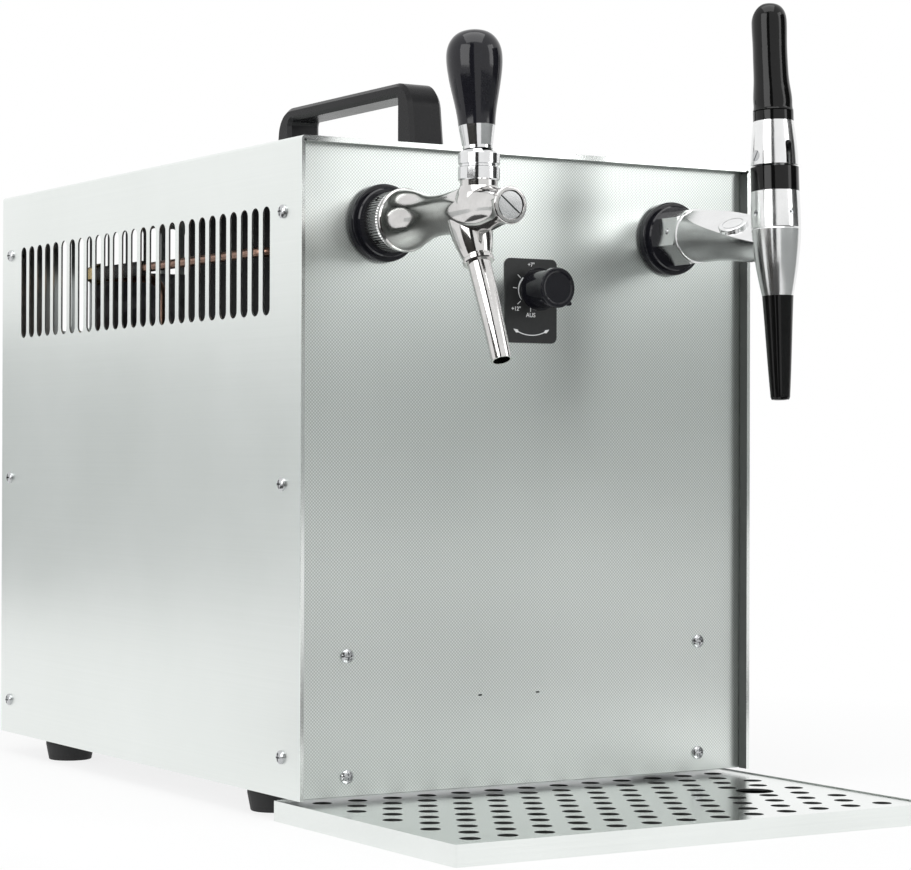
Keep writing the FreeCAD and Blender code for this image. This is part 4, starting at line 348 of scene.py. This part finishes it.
def knurled(name):
    """Chrome with a fine straight knurl round the left tap's axis."""
    s = Shade(name)
    x, _, z = s.split(s.place)
    across = s.math("SUBTRACT", x, LEFT_TAP_X)
    above = s.math("SUBTRACT", z, LEFT_TAP_Z)
    turn = s.math("ARCTAN2", above, across)
    ridges = s.math("SINE", s.math("MULTIPLY", turn, KNURL_RIDGES))
    cloud = s.noise(80.0, 3.0, 0.6)
    s.colours(cloud, (0.42, 0.42, 0.42), (0.62, 0.62, 0.62))
    s.roughness(s.spread(cloud, 0.10, 0.2))
    s.bump(ridges, 0.0004, 0.7)
    return s.mat


def moulded(name, dark, light, low, high, grain=350.0, bump=0.00003, ior=1.45):
    """Plastic, rubber, foam or paint."""
    s = Shade(name, metallic=0.0)
    s.bsdf.inputs["IOR"].default_value = ior
    fine = s.noise(grain, 4.0, 0.6)
    both = s.blend(fine, s.noise(12.0, 3.0, 0.5), 0.4)
    s.colours(both, dark, light)
    s.roughness(s.spread(both, low, high))
    s.bump(fine, bump, 0.6)
    return s.mat


def metal(name, dark, light, low, high, scale=40.0, bump=0.00006):
    """Bare metal with a soft uneven surface."""
    s = Shade(name)
    cloud = s.noise(scale, 5.0, 0.62)
    s.colours(cloud, dark, light)
    s.roughness(s.spread(cloud, low, high))
    s.bump(s.noise(scale * 6, 4.0, 0.6), bump, 0.5)
    return s.mat


def zinc_plate(name):
    """Zinc plated sheet with its broken spangle."""
    s = Shade(name)
    cells = s.add("ShaderNodeTexVoronoi")
    cells.inputs["Scale"].default_value = SPANGLE_SCALE
    s.join(s.place, cells.inputs["Vector"])
    grey = s.add("ShaderNodeRGBToBW")
    s.join(cells.outputs["Color"], grey.inputs["Color"])
    s.colours(grey.outputs["Val"], (0.50, 0.51, 0.52), (0.66, 0.67, 0.68))
    s.roughness(s.spread(grey.outputs["Val"], 0.32, 0.5))
    s.bump(s.noise(200.0, 3.0, 0.5), 0.00004, 0.4)
    return s.mat


# Each row has the function that builds the material and what that takes after the name: in most rows
# its dark and light colour, then its lowest and highest roughness, then its grain and the bump's depth
RECIPES = {
    "casing_steel": (casing_sheet,),
    "linen_steel": (dotted_steel,),
    "chrome": (polished,),
    "knurled_chrome": (knurled,),
    "dark_chrome": (polished, (0.58, 0.57, 0.56), (0.74, 0.73, 0.72), 0.07, 0.12),
    "satin_chrome": (polished, (0.78, 0.785, 0.785), (0.88, 0.885, 0.885), 0.15, 0.20),
    "pan_sheet": (tray_sheet, False),
    "grate_sheet": (tray_sheet, True),
    "gloss_black": (moulded, (0.002, 0.002, 0.002), (0.005, 0.005, 0.005), 0.06, 0.10),
    "stainless": (satin_steel, (0.76, 0.79, 0.77), (0.90, 0.93, 0.91), 0.16, 0.27),
    "zinc_steel": (zinc_plate,),
    "screw_steel": (polished, (0.46, 0.47, 0.48), (0.66, 0.67, 0.68), 0.14, 0.24),
    "black_plastic": (moulded, (0.006, 0.006, 0.008), (0.012, 0.012, 0.016), 0.06, 0.12),
    "satin_black": (moulded, (0.003, 0.003, 0.0035), (0.008, 0.008, 0.009), 0.22, 0.32),
    "dial_black": (moulded, (0.020, 0.021, 0.021), (0.034, 0.035, 0.035), 0.30, 0.40),
    "black_rubber": (moulded, (0.012, 0.012, 0.012), (0.026, 0.026, 0.027), 0.55, 0.75, 500.0, 0.00008),
    "insulation": (moulded, (0.010, 0.010, 0.011), (0.024, 0.024, 0.026), 0.7, 0.9, 260.0, 0.0003),
    "cast_aluminium": (metal, (0.52, 0.53, 0.54), (0.70, 0.71, 0.72), 0.4, 0.6, 60.0, 0.0002),
    "fin_aluminium": (metal, (0.48, 0.49, 0.50), (0.66, 0.67, 0.68), 0.3, 0.45),
    "copper": (metal, (0.40, 0.23, 0.17), (0.62, 0.40, 0.31), 0.25, 0.42),
    "brass": (metal, (0.60, 0.44, 0.20), (0.80, 0.62, 0.32), 0.18, 0.3),
    "black_enamel": (moulded, (0.012, 0.012, 0.013), (0.022, 0.022, 0.024), 0.25, 0.4, 90.0, 0.00015),
    "mark_white": (moulded, (0.70, 0.71, 0.71), (0.86, 0.87, 0.87), 0.4, 0.5),
}
REFRACTION = {"gloss_black": 1.36, "black_plastic": 1.42, "satin_black": 1.25, "dial_black": 1.4}


def make_materials():
    mats = {}
    for name, (build, *values) in RECIPES.items():
        extra = {"ior": REFRACTION[name]} if name in REFRACTION else {}
        mats[name] = build(name, *values, **extra)
    return mats


def smooth(obj):
    mesh = obj.data
    for polygon in mesh.polygons:
        polygon.use_smooth = True
    mesh.set_sharp_from_angle(angle=math.radians(SHARP_ANGLE_DEGREES))


def dress_nodes(mats):
    slots = {row["node"]: row["material_slot"] for row in frame["record"]["subparts"]}
    for name, obj in nodes.items():
        mat = mats[SPECIAL.get(name, slots[name])]
        obj.data.materials.clear()
        obj.data.materials.append(mat)
        smooth(obj)


# Marks of the dial
def plate_point(x, z):
    """A place on the dial plate, from millimetres right of its middle and above the casing's underside."""
    return Vector((x, PLATE_Y, z + FOOT_HEIGHT)) * MM


def finish_mark(obj, mats):
    obj.data.materials.append(mats["mark_white"])
    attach(obj, "casing")


def ribbon(name, points, widths, mats):
    """A thin closed strip on the plate along points, as wide as widths, in millimetres."""
    mesh = bpy.data.meshes.new(name)
    bm = bmesh.new()
    rows = []
    count = len(points)
    for i in range(count):
        here = Vector(points[i])
        before = Vector(points[max(i - 1, 0)])
        after = Vector(points[min(i + 1, count - 1)])
        along = (after - before).normalized()
        side = Vector((-along.y, along.x)) * (widths[i] / 2)
        row = []
        for depth in (0.0, MARK_THICK):
            for sign in (-1, 1):
                p = here + side * sign
                row.append(bm.verts.new(plate_point(p.x, p.y) + Vector((0, -depth, 0)) * MM))
        rows.append(row)
    for a, b in zip(rows, rows[1:]):
        for i, j in ((0, 1), (1, 3), (3, 2), (2, 0)):
            bm.faces.new((a[i], a[j], b[j], b[i]))
    for row in (rows[0], rows[-1]):
        bm.faces.new((row[0], row[1], row[3], row[2]))
    bmesh.ops.recalc_face_normals(bm, faces=bm.faces)
    bm.to_mesh(mesh)
    bm.free()
    obj = bpy.data.objects.new(name, mesh)
    bpy.context.scene.collection.objects.link(obj)
    finish_mark(obj, mats)


def lettering(name, body, x, z, height, mats):
    data = bpy.data.curves.new(name, "FONT")
    data.body = body
    data.size = height * TYPE_PER_CAPITAL * MM
    data.extrude = MARK_THICK / 2 * MM
    data.offset = TYPE_SWELL * MM
    data.align_x = "CENTER"
    data.align_y = "CENTER"
    obj = bpy.data.objects.new(name, data)
    obj.rotation_euler = (math.radians(90), 0, 0)
    obj.location = plate_point(x, z) + Vector((0, -MARK_THICK / 2, 0)) * MM
    bpy.context.scene.collection.objects.link(obj)
    finish_mark(obj, mats)


def cold_wedge(centre_z, mats):
    """The band round the dial that thins out from the cold end to the warm one."""
    points = []
    widths = []
    for i in range(WEDGE_STEPS + 1):
        share = i / WEDGE_STEPS
        turn = math.radians(WEDGE_START + WEDGE_SWEEP * share)
        radius = WEDGE_RADIUS + WEDGE_GROWTH * share
        points.append((radius * math.cos(turn), centre_z + radius * math.sin(turn)))
        widths.append(WEDGE_WIDTH - WEDGE_TAPER * share)
    ribbon("cold_wedge", points, widths, mats)


def arrow_width(share):
    """The width of the arrow's band, which has a pointed head at both ends."""
    edge = min(share, 1 - share)
    if edge > ARROW_HEAD_SHARE:
        return ARROW_SHAFT_WIDTH
    if edge < ARROW_BARB_SHARE:
        return ARROW_TIP_WIDTH + ARROW_SPREAD * edge / ARROW_HEAD_SHARE
    return ARROW_BARB_WIDTH


def turn_arrow(mats):
    points = []
    widths = []
    for i in range(ARROW_STEPS + 1):
        share = i / ARROW_STEPS
        turn = math.radians(ARROW_START + ARROW_SWEEP * share)
        x = ARROW_X + ARROW_RADIUS * math.cos(turn)
        z = ARROW_Z + ARROW_RADIUS * math.sin(turn)
        points.append((x, z))
        widths.append(arrow_width(share))
    ribbon("turn_arrow", points, widths, mats)


def dial_marks(mats):
    centre_z = DIAL_Z - FOOT_HEIGHT
    for name, body, x, z, height in WORDS:
        lettering(name, body, x, z, height, mats)
    for name, degrees in TICKS:
        turn = math.radians(degrees)
        ray = Vector((math.cos(turn), math.sin(turn)))
        ends = (ray * TICK_START, ray * TICK_END)
        points = [(p.x, centre_z + p.y) for p in ends]
        ribbon(name, points, [TICK_WIDTH, TICK_WIDTH], mats)
    cold_wedge(centre_z, mats)
    turn_arrow(mats)


# Studio
def flat_sheet(name, width, height):
    mesh = bpy.data.meshes.new(name)
    bm = bmesh.new()
    corners = ((-1, -1), (1, -1), (1, 1), (-1, 1))
    bm.faces.new([bm.verts.new((x * width / 2, y * height / 2, 0)) for x, y in corners])
    bm.to_mesh(mesh)
    bm.free()
    obj = bpy.data.objects.new(name, mesh)
    bpy.context.scene.collection.objects.link(obj)
    return obj


def plain_material(name, colour, roughness):
    mat = bpy.data.materials.new(name)
    mat.use_nodes = True
    bsdf = mat.node_tree.nodes["Principled BSDF"]
    bsdf.inputs["Base Color"].default_value = (*colour, 1)
    bsdf.inputs["Roughness"].default_value = roughness
    return mat


def turned_to(point, place, axis):
    direction = Vector(point) - Vector(place)
    return direction.to_track_quat(axis, "Y").to_euler()


def card(name, centre, width, height, facing, colour):
    """A flat studio card that faces a point. Only reflections see it."""
    obj = flat_sheet(name, width, height)
    obj.rotation_euler = turned_to(facing, centre, "Z")
    obj.location = centre
    obj.data.materials.append(plain_material(name, colour, 0.9))
    obj.visible_camera = False
    obj.visible_shadow = False
    obj.visible_diffuse = False


def lamp(name, place, size, power):
    data = bpy.data.lights.new(name, "AREA")
    data.shape = "RECTANGLE"
    data.size, data.size_y = size
    data.energy = power
    obj = bpy.data.objects.new(name, data)
    obj.location = place
    obj.rotation_euler = turned_to(LAMP_AIM, place, "-Z")
    bpy.context.scene.collection.objects.link(obj)


def background_rays(tree):
    """1 for a ray that should see the plain background, else 0."""
    path = tree.nodes.new("ShaderNodeLightPath")
    total = path.outputs["Is Camera Ray"]
    for name in ("Is Glossy Ray", "Is Transmission Ray"):
        node = tree.nodes.new("ShaderNodeMath")
        node.operation = "ADD"
        node.use_clamp = True
        tree.links.new(total, node.inputs[0])
        tree.links.new(path.outputs[name], node.inputs[1])
        total = node.outputs[0]
    return total


def set_world():
    """Dim ambient light on the object, and white for the rays that see the background."""
    world = bpy.data.worlds.new("world")
    world.use_nodes = True
    bpy.context.scene.world = world
    tree = world.node_tree
    ambient = tree.nodes["Background"]
    ambient.inputs["Color"].default_value = (*AMBIENT_COLOUR, 1)
    ambient.inputs["Strength"].default_value = AMBIENT_STRENGTH
    white = tree.nodes.new("ShaderNodeBackground")
    white.inputs["Color"].default_value = (1, 1, 1, 1)
    white.inputs["Strength"].default_value = 1.0
    mix = tree.nodes.new("ShaderNodeMixShader")
    tree.links.new(background_rays(tree), mix.inputs[0])
    tree.links.new(ambient.outputs[0], mix.inputs[1])
    tree.links.new(white.outputs[0], mix.inputs[2])
    tree.links.new(mix.outputs[0], tree.nodes["World Output"].inputs["Surface"])


def set_floor():
    """A pale floor that shows the object's shadow nearby and fades to white further out."""
    floor = flat_sheet("floor", FLOOR_SIZE, FLOOR_SIZE)
    mat = plain_material("floor", (FLOOR_GREY, FLOOR_GREY, FLOOR_GREY), 0.8)
    tree = mat.node_tree
    glow = tree.nodes.new("ShaderNodeEmission")
    glow.inputs["Strength"].default_value = 1.0
    coord = tree.nodes.new("ShaderNodeTexCoord")
    away = tree.nodes.new("ShaderNodeVectorMath")
    away.operation = "LENGTH"
    tree.links.new(coord.outputs["Object"], away.inputs[0])
    fade = tree.nodes.new("ShaderNodeMapRange")
    fade.inputs["From Min"].default_value = GLOW_NEAR
    fade.inputs["From Max"].default_value = GLOW_FAR
    fade.inputs["To Min"].default_value = GLOW_NEAR_SHARE
    fade.inputs["To Max"].default_value = GLOW_FAR_SHARE
    tree.links.new(away.outputs["Value"], fade.inputs["Value"])
    share = tree.nodes.new("ShaderNodeMath")
    share.operation = "MULTIPLY"
    tree.links.new(background_rays(tree), share.inputs[0])
    tree.links.new(fade.outputs["Result"], share.inputs[1])
    mix = tree.nodes.new("ShaderNodeMixShader")
    tree.links.new(share.outputs[0], mix.inputs[0])
    tree.links.new(tree.nodes["Principled BSDF"].outputs[0], mix.inputs[1])
    tree.links.new(glow.outputs[0], mix.inputs[2])
    tree.links.new(mix.outputs[0], tree.nodes["Material Output"].inputs["Surface"])
    floor.data.materials.append(mat)


def studio():
    set_world()
    set_floor()
    for row in LAMPS:
        lamp(*row)
    for row in CARDS:
        card(*row)


def main():
    mats = make_materials()
    dress_nodes(mats)
    dial_marks(mats)
    studio()
    set_camera()
    bpy.context.scene.view_settings.view_transform = "Standard"


main()
